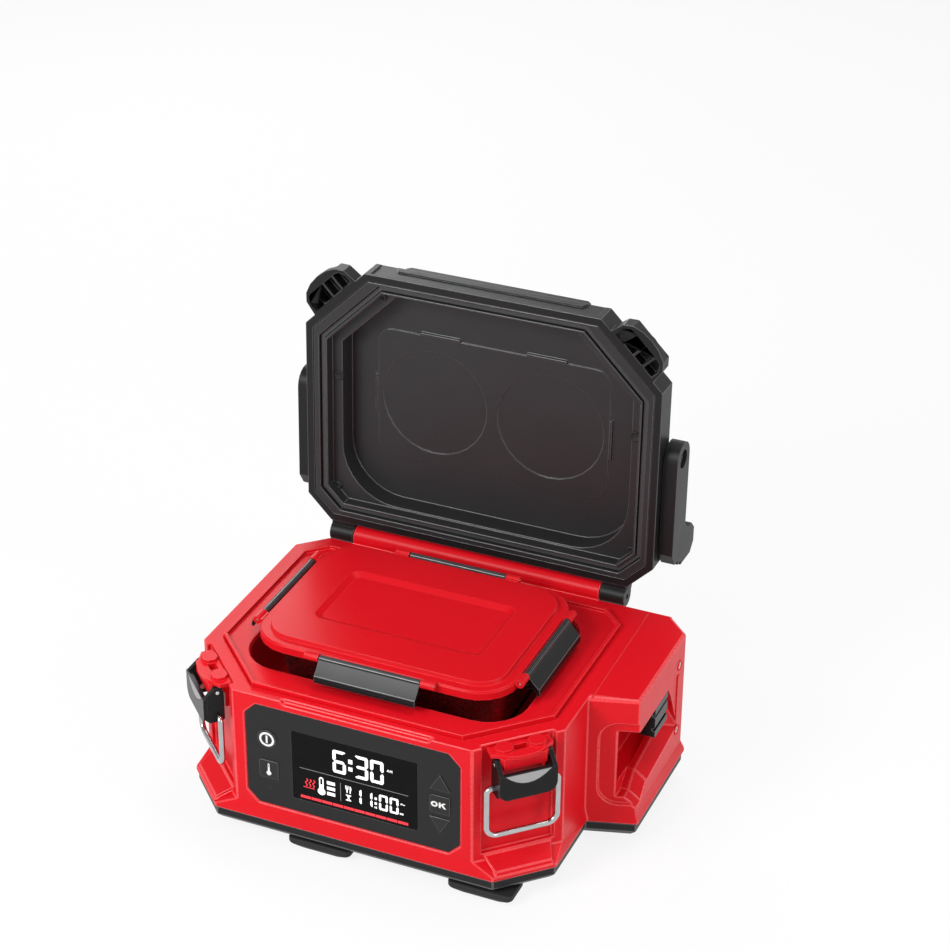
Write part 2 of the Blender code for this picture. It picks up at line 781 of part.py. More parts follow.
def make_housing():
    skirt = body_outline(SKIRT_FLARE, SKIRT_CORNER_FLARE)
    wall = body_outline(0, 0)
    rings = [(skirt, SKIRT_LOW), (skirt, SKIRT_EDGE), (wall, SKIRT_HIGH), (wall, LEDGE_HEIGHT)]
    housing = loft("housing", rings)
    join(housing, latch_sill(-1), latch_sill(1))

    # Inside of the shell, open below, and the seat that the deck drops into
    behind_recess = (RECESS_DEPTH + WALL) * math.sqrt(2)
    inside = octagon(
        HALF_WIDTH - WALL,
        FRONT_REACH - WALL,
        REAR_REACH - WALL,
        FRONT_CHAMFER - 2 * WALL + behind_recess,
        REAR_CHAMFER,
    )
    cut(housing, prism("housing inside", inside, SKIRT_LOW - CUT_MARGIN, LEDGE_HEIGHT - TOP_PLATE))
    cut(
        housing,
        prism("deck hole", lip_octagon(DECK_SEAT), LEDGE_HEIGHT - 2 * TOP_PLATE, LEDGE_HEIGHT + CUT_MARGIN),
        prism("deck seat", lip_octagon(-FIT), DECK_UNDER - FIT, LEDGE_HEIGHT + CUT_MARGIN),
    )
    cut(housing, latch_recess(-1), latch_recess(1))

    # Opening for the display panel, bevelled at the front
    front = FRONT_REACH
    cut(housing, prism("panel hole", grown_panel(FIT), front - 2 * WALL, front + CUT_MARGIN, FRONT_VIEW))
    bevel_rings = [
        (grown_panel(FIT / 2), front - PANEL_RECESS),
        (grown_panel(PANEL_BEVEL), front + FIT),
    ]
    cut(housing, loft("panel bevel", bevel_rings, FRONT_VIEW))

    # Finger notch along the top of the front
    notch = chamfered_box(
        NOTCH_MIDDLE - NOTCH_HALF,
        NOTCH_MIDDLE + NOTCH_HALF,
        LEDGE_HEIGHT - NOTCH_LOW,
        LEDGE_HEIGHT + 2 * NOTCH_LOW,
        NOTCH_LOW,
    )
    cut(housing, prism("finger notch", notch, front - NOTCH_DEEP, front + CUT_MARGIN, FRONT_VIEW))

    # Battery bay, with a flared mouth and a grip hollow in the pod's raked front
    side = HALF_WIDTH + POD_REACH
    flare_past = BAY_FLARE * (BAY_FLARE_DEPTH + OVERLAP) / BAY_FLARE_DEPTH
    mouth = [
        (bay_profile(0), side - BAY_MOUTH),
        (bay_profile(0), side - BAY_FLARE_DEPTH),
        (bay_profile(flare_past), side + OVERLAP),
    ]
    cut(
        housing,
        loft("bay mouth", mouth, SIDE_VIEW),
        prism(
            "bay depth",
            box(POD_FRONT + BAY_FRONT_WALL, BAY_REAR, BAY_FLOOR, BAY_CEILING),
            HALF_WIDTH + BAY_INNER,
            side - BAY_MOUTH + OVERLAP,
            SIDE_VIEW,
        ),
    )
    # The pod is hollow below the bay and behind it
    under_bay = BAY_LOW_FLOOR - BAY_FLARE - WALL
    behind_bay = BAY_REAR + 2 * BAY_FLARE + WALL
    for name, low, high, top in (
        ("pod hollow low", POD_FRONT + BAY_FRONT_WALL, REAR_REACH - POD_CHAMFER, under_bay),
        ("pod hollow rear", behind_bay, REAR_REACH - POD_CHAMFER - FIT, LEDGE_HEIGHT - TOP_PLATE),
    ):
        outline = box(HALF_WIDTH + WALL, side - WALL, low, high)
        cut(housing, prism(name, outline, SKIRT_LOW - CUT_MARGIN, top))
    rake = math.atan2(POD_FRONT_RAKE, POD_REACH)
    rake_view = (
        Matrix.Translation((HALF_WIDTH, POD_FRONT, 0)) @ Matrix.Rotation(rake, 4, "Z") @ FRONT_VIEW
    )
    slant = POD_REACH / math.cos(rake)
    grip = rounded_box(
        slant - GRIP_FROM + GRIP_ROUND,
        (GRIP_HIGH - GRIP_LOW) / 2,
        GRIP_ROUND,
        (slant + GRIP_ROUND, (GRIP_HIGH + GRIP_LOW) / 2),
    )
    cut(housing, prism("grip hollow", grip, -GRIP_DEPTH, CUT_MARGIN, rake_view))

    # Hinge barrel along the back, joined by its web
    barrel_view = Matrix.Translation((0, HINGE_Y, HINGE_Z)) @ SIDE_VIEW
    web = box(REAR_REACH - OVERLAP, HINGE_Y, LEDGE_HEIGHT - BARREL_RADIUS, HINGE_Z)
    join(
        housing,
        rod("hinge barrel", BARREL_RADIUS, -BARREL_HALF, BARREL_HALF, barrel_view),
        prism("hinge web", web, -BARREL_HALF + OVERLAP, BARREL_HALF - OVERLAP, SIDE_VIEW),
    )
    cut(housing, rod("hinge bore", HINGE_PIN_RADIUS + FIT, -HALF_WIDTH, HALF_WIDTH, barrel_view, 12))
    return part(housing, "red_plastic", root)


DECK_TOP = LEDGE_HEIGHT + DECK_HIGH
DECK_UNDER = LEDGE_HEIGHT - DECK_SEAT


# Deck with its seal lip and the well that the container stands in


def well_ring(half_x, half_y, radius):
    return rounded_box(half_x, half_y, radius, (0, WELL_Y))


def grown_well(grow):
    """The mouth of the well, grown on every side."""
    return well_ring(WELL_HALF_X + grow, WELL_HALF_Y + grow, WELL_ROUND + grow)


def make_deck_well():
    deck = prism("deck_well", lip_octagon(0), DECK_UNDER, DECK_TOP)
    lip = [lip_octagon(0), lip_octagon(LIP_WIDTH)]
    join(deck, prism("seal lip", lip, DECK_UNDER + OVERLAP, LEDGE_HEIGHT + LIP_HIGH))

    grow = WELL_WALL
    foot_x = POCKET_HALF_X - POCKET_DRAFT
    foot_y = POCKET_HALF_Y - POCKET_DRAFT
    outer = [
        (well_ring(foot_x + grow, foot_y + grow, POCKET_ROUND), PLATE_TOP - PLATE_THICK),
        (well_ring(POCKET_HALF_X + grow, POCKET_HALF_Y + grow, POCKET_ROUND + grow), WELL_FLOOR - grow),
        (grown_well(-WELL_DRAFT), WELL_FLOOR - grow),
        (grown_well(grow), DECK_UNDER + OVERLAP),
    ]
    join(deck, loft("well outside", outer))

    fillet = WELL_FILLET
    draft = WELL_DRAFT
    inner = [
        (well_ring(foot_x, foot_y, POCKET_ROUND - POCKET_DRAFT), PLATE_TOP - PLATE_RIM / 2),
        (well_ring(POCKET_HALF_X, POCKET_HALF_Y, POCKET_ROUND), WELL_FLOOR),
        (grown_well(-draft - fillet), WELL_FLOOR),
        (grown_well(-draft), WELL_FLOOR + fillet),
        (grown_well(0), DECK_TOP - fillet / 2),
        (grown_well(fillet / 2), DECK_TOP + FIT),
    ]
    cut(deck, loft("well inside", inner))
    hole = plate_outline(FIT - PLATE_RIM)
    cut(deck, prism("plate hole", hole, PLATE_TOP - 4 * PLATE_THICK, PLATE_TOP + CUT_MARGIN))
    return part(deck, "red_plastic", root)


def plate_outline(grow):
    half_x = POCKET_HALF_X - POCKET_DRAFT - 2 * FIT + grow
    half_y = POCKET_HALF_Y - POCKET_DRAFT - 2 * FIT + grow
    return well_ring(half_x, half_y, POCKET_ROUND - POCKET_DRAFT + grow)


def make_heating():
    seat = PLATE_TOP - PLATE_RIM / 2
    plate = prism("heating_plate", plate_outline(0), seat + FIT, PLATE_TOP)
    boss = prism("plate boss", plate_outline(-PLATE_RIM), PLATE_TOP - PLATE_THICK - FIT, PLATE_TOP - FIT)
    join(plate, boss)
    part(plate, "amber_plate", root)

    under = PLATE_TOP - PLATE_THICK - 2 * FIT
    heater = prism("film_heater", plate_outline(-PLATE_RIM), under - HEATER_THICK, under)
    part(heater, "heater_film", root)
    pad_top = under - HEATER_THICK - FIT
    sensor_hole = circle((0, WELL_Y), SENSOR_RADIUS + FIT)
    pad = prism("insulation_pad", [plate_outline(0), sensor_hole], pad_top - PAD_THICK, pad_top)
    part(pad, "insulation", root)
    sensor = rod(
        "temperature_sensor",
        SENSOR_RADIUS,
        pad_top - SENSOR_HIGH,
        pad_top,
        Matrix.Translation((0, WELL_Y, 0)),
    )
    part(sensor, "bright_steel", root)


# Black tray under the body, and its feet


def make_base():
    top = body_outline(SKIRT_FLARE - TRAY_INSET, SKIRT_CORNER_FLARE - TRAY_INSET)
    low_grow = SKIRT_FLARE - TRAY_INSET - TRAY_CHAMFER
    bottom = body_outline(low_grow, SKIRT_CORNER_FLARE - TRAY_INSET - TRAY_CHAMFER)
    tray_top = SKIRT_LOW - FIT
    tray = loft("base_tray", [(bottom, TRAY_BOTTOM), (top, TRAY_BOTTOM + TRAY_CHAMFER), (top, tray_top)])
    hollow = octagon(
        HALF_WIDTH - 2 * TRAY_WALL,
        FRONT_REACH - 2 * TRAY_WALL,
        REAR_REACH - 2 * TRAY_WALL,
        FRONT_CHAMFER,
        REAR_CHAMFER,
    )
    cut(tray, prism("tray hollow", hollow, TRAY_BOTTOM + TRAY_WALL, tray_top + CUT_MARGIN))
    part(tray, "black_plastic", root)

    for row, y in enumerate(FOOT_Y):
        for column, x in enumerate(FOOT_X):
            sole = rounded_box(FOOT_SOLE_X, FOOT_SOLE_Y, FOOT_SOLE_Y / 2, (x, y), 3)
            neck = rounded_box(FOOT_HALF_X, FOOT_HALF_Y, FOOT_SOLE_Y / 2, (x, y), 3)
            foot = loft(
                f"foot_{('front', 'rear')[row]}_{('left', 'right')[column]}",
                [(sole, 0), (neck, FOOT_SHOULDER), (neck, TRAY_BOTTOM - FIT)],
            )
            part(foot, "black_rubber", root)


# Display panel, its window, display module, board and buttons

BEZEL_FRONT = FRONT_REACH - PANEL_RECESS
BEZEL_BACK = FRONT_REACH - WALL - FIT - BEZEL_FLANGE_THICK
MODULE_FRONT = BEZEL_BACK - FIT


def round_outline(at, grow):
    return circle(at, POWER_RADIUS + grow)


def key_outline(at, grow):
    return rounded_box(KEY_HALF + grow, KEY_HALF + grow, KEY_ROUND, at, 2)


def arrow_outline(z, up, grow):
    """A triangle pointing up or down, centred on its box."""
    slope = math.hypot(ARROW_HALF, ARROW_HIGH)
    side = grow * (slope + ARROW_HALF) / ARROW_HIGH
    tip = grow * slope / ARROW_HALF
    base = -up * (ARROW_HIGH / 2 + grow)
    points = [
        (ARROW_X - ARROW_HALF - side, z + base),
        (ARROW_X + ARROW_HALF + side, z + base),
        (ARROW_X, z + up * (ARROW_HIGH / 2 + tip)),
    ]
    return points if up > 0 else points[::-1]


def window_outline(grow):
    return rounded_box(WINDOW_HALF_X + grow, WINDOW_HALF_Z + grow, KEY_ROUND, (WINDOW_X, WINDOW_Z), 2)


KEY_PLACES = {
    "power": POWER_AT,
    "temperature": TEMPERATURE_AT,
    "up": (ARROW_X, UP_Z),
    "ok": (ARROW_X, OK_Z),
    "down": (ARROW_X, DOWN_Z),
}
BUTTONS = {
    "power_button": lambda grow: round_outline(POWER_AT, grow),
    "temperature_button": lambda grow: key_outline(TEMPERATURE_AT, grow),
    "up_button": lambda grow: arrow_outline(UP_Z, 1, grow),
    "ok_button": lambda grow: key_outline((ARROW_X, OK_Z), grow),
    "down_button": lambda grow: arrow_outline(DOWN_Z, -1, grow),
}


def make_panel():
    bezel = prism("display_bezel", grown_panel(0), BEZEL_BACK, BEZEL_FRONT, FRONT_VIEW)
    flange_front = BEZEL_BACK + BEZEL_FLANGE_THICK
    flange = prism("bezel flange", grown_panel(BEZEL_FLANGE), BEZEL_BACK, flange_front, FRONT_VIEW)
    join(bezel, flange)
    seat = BEZEL_FRONT - WINDOW_THICK - FIT
    behind = BEZEL_BACK - CUT_MARGIN
    cut(
        bezel,
        prism("window seat", window_outline(FIT), seat, BEZEL_FRONT + CUT_MARGIN, FRONT_VIEW),
        prism("window hole", window_outline(-WINDOW_LEDGE), behind, BEZEL_FRONT, FRONT_VIEW),
    )
    for name, outline in BUTTONS.items():
        hole = prism(name + " hole", outline(FIT), behind, BEZEL_FRONT + CUT_MARGIN, FRONT_VIEW)
        cut(bezel, hole)
    part(bezel, "matte_black", root)

    window = prism("display_window", window_outline(0), BEZEL_FRONT - WINDOW_THICK, BEZEL_FRONT, FRONT_VIEW)
    part(window, "display_glass", root)
    module_back = MODULE_FRONT - MODULE_THICK
    module = prism("display_module", window_outline(WINDOW_LEDGE), module_back, MODULE_FRONT, FRONT_VIEW)
    part(module, "matte_black", root)
    board_front = module_back - FIT
    board = prism(
        "control_board",
        rounded_box(BOARD_HALF_X, BOARD_HALF_Z, KEY_ROUND, (0, WINDOW_Z), 2),
        board_front - BOARD_THICK,
        board_front,
        FRONT_VIEW,
    )
    switch_top = MODULE_FRONT - BUTTON_FLANGE_THICK - BUTTON_TRAVEL - FIT
    for name, (x, z) in KEY_PLACES.items():
        switch = rounded_box(SWITCH_HALF, SWITCH_HALF, KEY_ROUND, (x, z), 1)
        join(board, prism(name + " switch", switch, board_front - OVERLAP, switch_top, FRONT_VIEW))
    part(board, "green_board", root)

    for name, outline in BUTTONS.items():
        button = prism(name, outline(0), MODULE_FRONT - OVERLAP, BEZEL_FRONT + BUTTON_PROUD, FRONT_VIEW)
        stop_back = MODULE_FRONT - BUTTON_FLANGE_THICK
        stop = prism(name + " stop", outline(BUTTON_FLANGE), stop_back, MODULE_FRONT, FRONT_VIEW)
        join(button, stop)
        part(button, "matte_black", root)


# Corner latches


def make_latch(side):
    label = "left" if side < 0 else "right"
    view = corner_view(side)
    back = RECESS_DEPTH - FIT

    # Bracket on the recess floor, with its shelf, hinge block, lugs and slot
    shelf = mirrored(
        [
            (SHELF_HALF, back),
            (SHELF_HALF, -SHELF_SIDE_REACH),
            (SHELF_HALF - 0.2 * SHELF_HALF, -SHELF_SIDE_REACH - 0.3 * (SHELF_REACH - SHELF_SIDE_REACH)),
            (SHELF_HALF - 0.55 * SHELF_HALF, -SHELF_SIDE_REACH - 0.85 * (SHELF_REACH - SHELF_SIDE_REACH)),
            (SHELF_HALF - 0.85 * SHELF_HALF, -SHELF_REACH),
        ][::-1]
    )
    bracket = prism(f"latch_bracket_{label}", shelf, SHELF_LOW, SHELF_LOW + SHELF_THICK, view)
    block = prism(
        f"{label} hinge block",
        chamfered_box(-BLOCK_HALF, BLOCK_HALF, -BLOCK_REACH, BLOCK_REACH, BRACKET_BACK / 2),
        BLOCK_LOW,
        SHELF_LOW + OVERLAP,
        view,
    )
    trim = prism(
        f"{label} block trim",
        box(-2 * RECESS_HALF, 2 * RECESS_HALF, back, 2 * RECESS_HALF),
        0,
        2 * LEDGE_HEIGHT,
        view,
    )
    foot = prism(
        f"{label} bracket foot",
        box(-BLOCK_HALF, BLOCK_HALF, back - BRACKET_BACK, back + OVERLAP),
        BRACKET_LOW,
        SHELF_LOW + OVERLAP,
        view,
    )
    join(bracket, block, foot)
    for lug_side in (-1, 1):
        lug_at = lug_side * LUG_AT
        lug_back = -LUG_HALF - BRACKET_BACK / 2
        lug_low = chamfered_box(lug_at - LUG_HALF, lug_at + LUG_HALF, lug_back, LUG_HALF / 2, LUG_HALF / 2)
        lug_top = SHELF_LOW + SHELF_THICK + LUG_HIGH
        lug = prism(f"{label} lug {lug_side}", lug_low, SHELF_LOW + OVERLAP, lug_top, view)
        join(bracket, lug)
    slot = prism(
        f"{label} slot",
        box(-SLOT_HALF, SLOT_HALF, -SLOT_DEEP, 0),
        SHELF_LOW - BRACKET_BACK / 2,
        LEDGE_HEIGHT + CUT_MARGIN,
        view,
    )
    pin_view = pivot_view(side, LEVER_PIN_Z)
    pin_hole = rod(f"{label} pin hole", LEVER_PIN_RADIUS + FIT, -RECESS_HALF, RECESS_HALF, pin_view, 12)
    cut(bracket, trim, slot, pin_hole)
    part(bracket, "red_plastic", root)
    pin = rod(f"latch_pin_{label}", LEVER_PIN_RADIUS, -LEVER_HALF, LEVER_HALF, pin_view, 12)
    part(pin, "bright_steel", root)

    # Lever: two arms round the pin and a face plate with round lower corners
    lever_origin = view @ Vector((0, -LEVER_PIN_REACH, LEVER_PIN_Z))
    side_view = view @ SIDE_VIEW
    face_front = LEVER_FACE_REACH - 2 * FIT
    arm = [
        (-face_front, LEVER_FACE_TOP),
        (-face_front, LEVER_LOW + LEVER_CORNER / 2),
        (-face_front + LEVER_CORNER / 2, LEVER_LOW + FIT),
        (-ARM_BACK - LEVER_CORNER / 4, LEVER_LOW + FIT),
        (-ARM_BACK, LEVER_LOW + LEVER_CORNER / 4),
        (-ARM_BACK, LEVER_PIN_Z - LEVER_HEAD),
    ] + arc((-LEVER_PIN_REACH, LEVER_PIN_Z), LEVER_HEAD, 0, 150, 5)
    inner = LEVER_HALF - ARM_THICK
    lever = prism(
        f"latch_lever_{label}",
        mirrored(
            [
                *arc((LEVER_HALF - LEVER_CORNER, LEVER_LOW + LEVER_CORNER), LEVER_CORNER, -80, 0, 4),
                (LEVER_HALF, LEVER_FACE_TOP),
            ]
        ),
        LEVER_FACE_REACH - LEVER_FACE_THICK,
        LEVER_FACE_REACH,
        view @ FRONT_VIEW,
    )
    for arm_side in (-1, 1):
        low = inner if arm_side > 0 else -LEVER_HALF + FIT
        join(lever, prism(f"{label} arm {arm_side}", arm, low, low + ARM_THICK - FIT, side_view))
    bail_view = pivot_view(side, BAIL_PIVOT_Z)
    cut(
        lever,
        rod(f"{label} lever bore", LEVER_PIN_RADIUS + FIT, -RECESS_HALF, RECESS_HALF, pin_view, 12),
        rod(f"{label} bail bore", BAIL_RADIUS + FIT, -RECESS_HALF, RECESS_HALF, bail_view, 12),
        prism(
            f"{label} inlay seat",
            crescent(FIT),
            LEVER_FACE_REACH - INLAY_DEEP - FIT,
            LEVER_FACE_REACH + CUT_MARGIN,
            view @ FRONT_VIEW,
        ),
    )
    lever_body = part(lever, "black_plastic", root, lever_origin)

    inlay = prism(
        f"latch_inlay_{label}",
        crescent(0),
        LEVER_FACE_REACH - INLAY_DEEP,
        LEVER_FACE_REACH,
        view @ FRONT_VIEW,
    )
    part(inlay, "silver_inlay", root)

    # Wire bail hanging from the lever
    low = BAIL_PIVOT_Z - BAIL_LENGTH
    reach = BAIL_HALF - BAIL_BEND
    corner = arc((reach, low + BAIL_BEND), BAIL_BEND, -90, 0, 5)
    shoulder = arc((BAIL_HALF - BAIL_SHOULDER, BAIL_PIVOT_Z - BAIL_SHOULDER), BAIL_SHOULDER, 0, 90, 4)
    half = corner + shoulder + [(LEVER_HALF - ARM_THICK + FIT, BAIL_PIVOT_Z)]
    path = [(x, -LEVER_PIN_REACH, z) for x, z in half]
    path = [(-x, y, z) for x, y, z in reversed(path)] + path
    bail = wire(f"latch_bail_{label}", path, BAIL_RADIUS, view)
    part(bail, "bright_steel", root, view @ Vector((0, -LEVER_PIN_REACH, BAIL_PIVOT_Z)))
    return lever_body


def crescent(grow):
    """The inlay's lens shape in front view, with a nearly straight top."""
    top = LEVER_FACE_TOP - INLAY_TOP + grow
    half = INLAY_HALF + 3 * grow
    steps = 8
    lower = []
    for step in range(steps + 1):
        across = -1 + 2 * step / steps
        lower.append((half * across, top - (1 - across * across) * (INLAY_DROP + 2 * grow)))
    return lower


# Battery terminals in the bay


def make_terminals():
    """A rail that hangs from the bay's ceiling at its mouth, with the blades in the slab at its foot."""
    middle = HALF_WIDTH + POD_REACH - FIT - TERMINAL_HALF_WIDTH
    rear = BAY_SLOPE_REAR - 2 * FIT
    front = rear - TERMINAL_LENGTH
    top = BAY_CEILING - FIT
    plate = top - TERMINAL_TOP
    rail_top = plate - TERMINAL_NECK
    rail_low = rail_top - TERMINAL_RAIL
    slab = rail_low - TERMINAL_NECK
    low = slab - TERMINAL_SLAB
    wide = TERMINAL_HALF_WIDTH
    outline = [
        (-wide, low),
        (wide, low),
        (wide, slab),
        (TERMINAL_NECK_OUT, slab),
        (TERMINAL_NECK_OUT, rail_low),
        (wide - TERMINAL_NECK / 2, rail_low),
        (wide, rail_low + TERMINAL_NECK / 2),
        (wide, rail_top - TERMINAL_NECK / 2),
        (wide - TERMINAL_NECK / 2, rail_top),
        (TERMINAL_NECK_OUT, rail_top),
        (TERMINAL_NECK_OUT, plate),
        (wide, plate),
        (wide, top),
        (-wide, top),
        (-wide, plate + FIT),
        (-TERMINAL_NECK_IN, plate + FIT),
        (-TERMINAL_NECK_IN, rail_top + FIT),
        (-TERMINAL_RAIL_IN, rail_top - TERMINAL_NECK / 2),
        (-TERMINAL_RAIL_IN, rail_low + TERMINAL_NECK / 2),
        (-TERMINAL_NECK_IN, rail_low - FIT),
        (-TERMINAL_NECK_IN, slab - FIT),
        (-wide, slab - FIT),
    ]
    end_view = Matrix.Translation((middle, 0, 0)) @ FRONT_VIEW
    block = prism("terminal_block", outline, -rear, -front, end_view)
    places = [(index - (BLADE_COUNT - 1) / 2) * BLADE_PITCH for index in range(BLADE_COUNT)]
    blade_front = front + BLADE_SET
    blade_rear = blade_front + BLADE_LENGTH
    half = BLADE_THICK / 2
    slots = []
    for index, x in enumerate(places):
        slot = box(x - half - FIT, x + half + FIT, low - CUT_MARGIN, low + BLADE_DROP)
        slots.append(prism(f"blade slot {index}", slot, -blade_rear - FIT, -blade_front + FIT, end_view))
    cut(block, *slots)
    part(block, "matte_black", root)
    for index, x in enumerate(places):
        outline = box(x - half, x + half, low, low + BLADE_DROP - FIT)
        blade = prism(f"contact_blade_{index + 1}", outline, -blade_rear, -blade_front, end_view)
        part(blade, "copper", root)


# Lid, built closed and turned open about the hinge


def deep_outline():
    """Plan of the liner's deep part: cut corners in front and round ones behind."""
    half = [
        (DEEP_HALF - DEEP_FRONT_CUT, -DEEP_FRONT),
        (DEEP_HALF, -DEEP_FRONT + DEEP_FRONT_CUT),
        *arc((DEEP_HALF - DEEP_REAR_ROUND, DEEP_REAR - DEEP_REAR_ROUND), DEEP_REAR_ROUND, 0, 90, 8),
    ]
    return mirrored(half)


def catch_edge(across, inset):
    """How far out a catch's nose reaches at a place across it, in its corner frame."""
    half = CATCH_HALF - inset
    return -(CATCH_REACH - inset) * (1 - min(across * across / half**2, 1)) ** 0.31


def make_catch(shell, side):
    """A half-round nose, hollow from below with ribs, and stepped back above a ledge for the bail."""
    view = corner_view(side)
    label = "left" if side < 0 else "right"
    nose = []
    for step in range(9):
        across = -CATCH_HALF * math.cos(math.pi * step / 8)
        nose.append((across, catch_edge(across, 0)))
    nose += [(CATCH_HALF, OVERLAP), (-CATCH_HALF, OVERLAP)]
    join(shell, prism(f"{label} catch", nose, LID_BASE, LID_BASE + CATCH_HIGH, view))
    step_back = box(-2 * CATCH_HALF, 2 * CATCH_HALF, -2 * CATCH_REACH, -LEDGE_REACH)
    step_top = LID_BASE + 2 * CATCH_HIGH
    cut(shell, prism(f"{label} catch step", step_back, LID_BASE + CATCH_LEDGE, step_top, view))
    half = CATCH_HALF - CATCH_WALL
    for index in range(4):
        low = -half + index * half / 2 + CATCH_RIB / 2
        high = low + half / 2 - CATCH_RIB
        pocket = []
        for step in range(4):
            across = low + (high - low) * step / 3
            pocket.append((across, max(catch_edge(across, CATCH_WALL), -CATCH_HOLLOW_REACH)))
        pocket = [point for point in pocket if point[1] < -2 * CATCH_RIB]
        pocket += [(pocket[-1][0], -CATCH_RIB), (pocket[0][0], -CATCH_RIB)]
        top = LID_BASE + CATCH_HOLLOW_HIGH
        cut(shell, prism(f"{label} pocket {index}", pocket, LID_BASE - CUT_MARGIN, top, view))


def handle_pivot_view(side):
    """Frame of one handle pivot: Z outwards along the pivot, from the lid's side."""
    turn = Matrix.Rotation(side * math.pi / 2, 4, "Y")
    return Matrix.Translation((side * HALF_WIDTH, HANDLE_Y, LID_BASE + HANDLE_HIGH)) @ turn


def make_handle(lid):
    """A U round the lid: two arms with a round end on the pivot, and a bar over the lid's back."""
    low = LID_BASE + HANDLE_HIGH - HANDLE_HALF
    high = LID_BASE + HANDLE_HIGH + HANDLE_HALF
    top = LID_BASE + HANDLE_TOP
    rear = HANDLE_REAR
    front_of_leg = rear - HANDLE_LEG
    arm = arc((HANDLE_Y, LID_BASE + HANDLE_HIGH), HANDLE_HALF, 90, 270, 10) + [
        (rear - 2 * HANDLE_LEG / 3, low),
        (rear - 2 * HANDLE_STEP, low + HANDLE_CUT),
        (rear - 2 * HANDLE_STEP, low + 2 * HANDLE_CUT),
        (rear - HANDLE_STEP, low + 2 * HANDLE_CUT),
        (rear - HANDLE_STEP, low + 3 * HANDLE_CUT),
        (rear, low + 3 * HANDLE_CUT),
        (rear, top - HANDLE_CUT),
        (rear - HANDLE_CUT, top),
        (front_of_leg + HANDLE_CUT, top),
        (front_of_leg, top - HANDLE_CUT),
        (front_of_leg, high + HANDLE_CUT),
        (front_of_leg - HANDLE_CUT, high),
    ]
    inner = HALF_WIDTH + HANDLE_GAP
    outer = HALF_WIDTH + HANDLE_REACH
    handle = prism("carry_handle", arm, inner, outer, SIDE_VIEW)
    join(handle, prism("handle left arm", arm, -outer, -inner, SIDE_VIEW))
    middle = rear - HANDLE_LEG / 2
    bar_half = GRIP_BAR_DEEP / 2
    bar_top = top - FIT
    bar = chamfered_box(
        middle - bar_half, middle + bar_half, bar_top - GRIP_BAR_HIGH, bar_top, GRIP_BAR_CUT
    )
    join(handle, prism("handle bar", bar, -inner - OVERLAP, inner + OVERLAP, SIDE_VIEW))
    pivot = (0, HANDLE_Y, LID_BASE + HANDLE_HIGH)
    for side in (-1, 1):
        view = handle_pivot_view(side)
        label = "left" if side < 0 else "right"
        head_from = HANDLE_REACH - PIVOT_RECESS_DEEP
        cut(
            handle,
            rod(f"handle bore {side}", PIVOT_RADIUS + FIT, 0, HANDLE_REACH + CUT_MARGIN, view),
            rod(f"handle recess {side}", PIVOT_RECESS_RADIUS, head_from, HANDLE_REACH + CUT_MARGIN, view),
        )
        bolt_end = head_from + PIVOT_HEAD_HIGH - OVERLAP
        bolt = rod(f"handle_pivot_{label}", PIVOT_RADIUS, -LID_RIM, bolt_end, view)
        head_high = head_from + FIT + PIVOT_HEAD_HIGH
        join(bolt, rod(f"{label} pivot head", PIVOT_HEAD_RADIUS, head_from + FIT, head_high, view))
        part(bolt, "bright_steel", lid, (0, HINGE_Y, HINGE_Z)).location = (0, 0, 0)
    part(handle, "black_plastic", lid, pivot).location = Vector(pivot) - Vector((0, HINGE_Y, HINGE_Z))


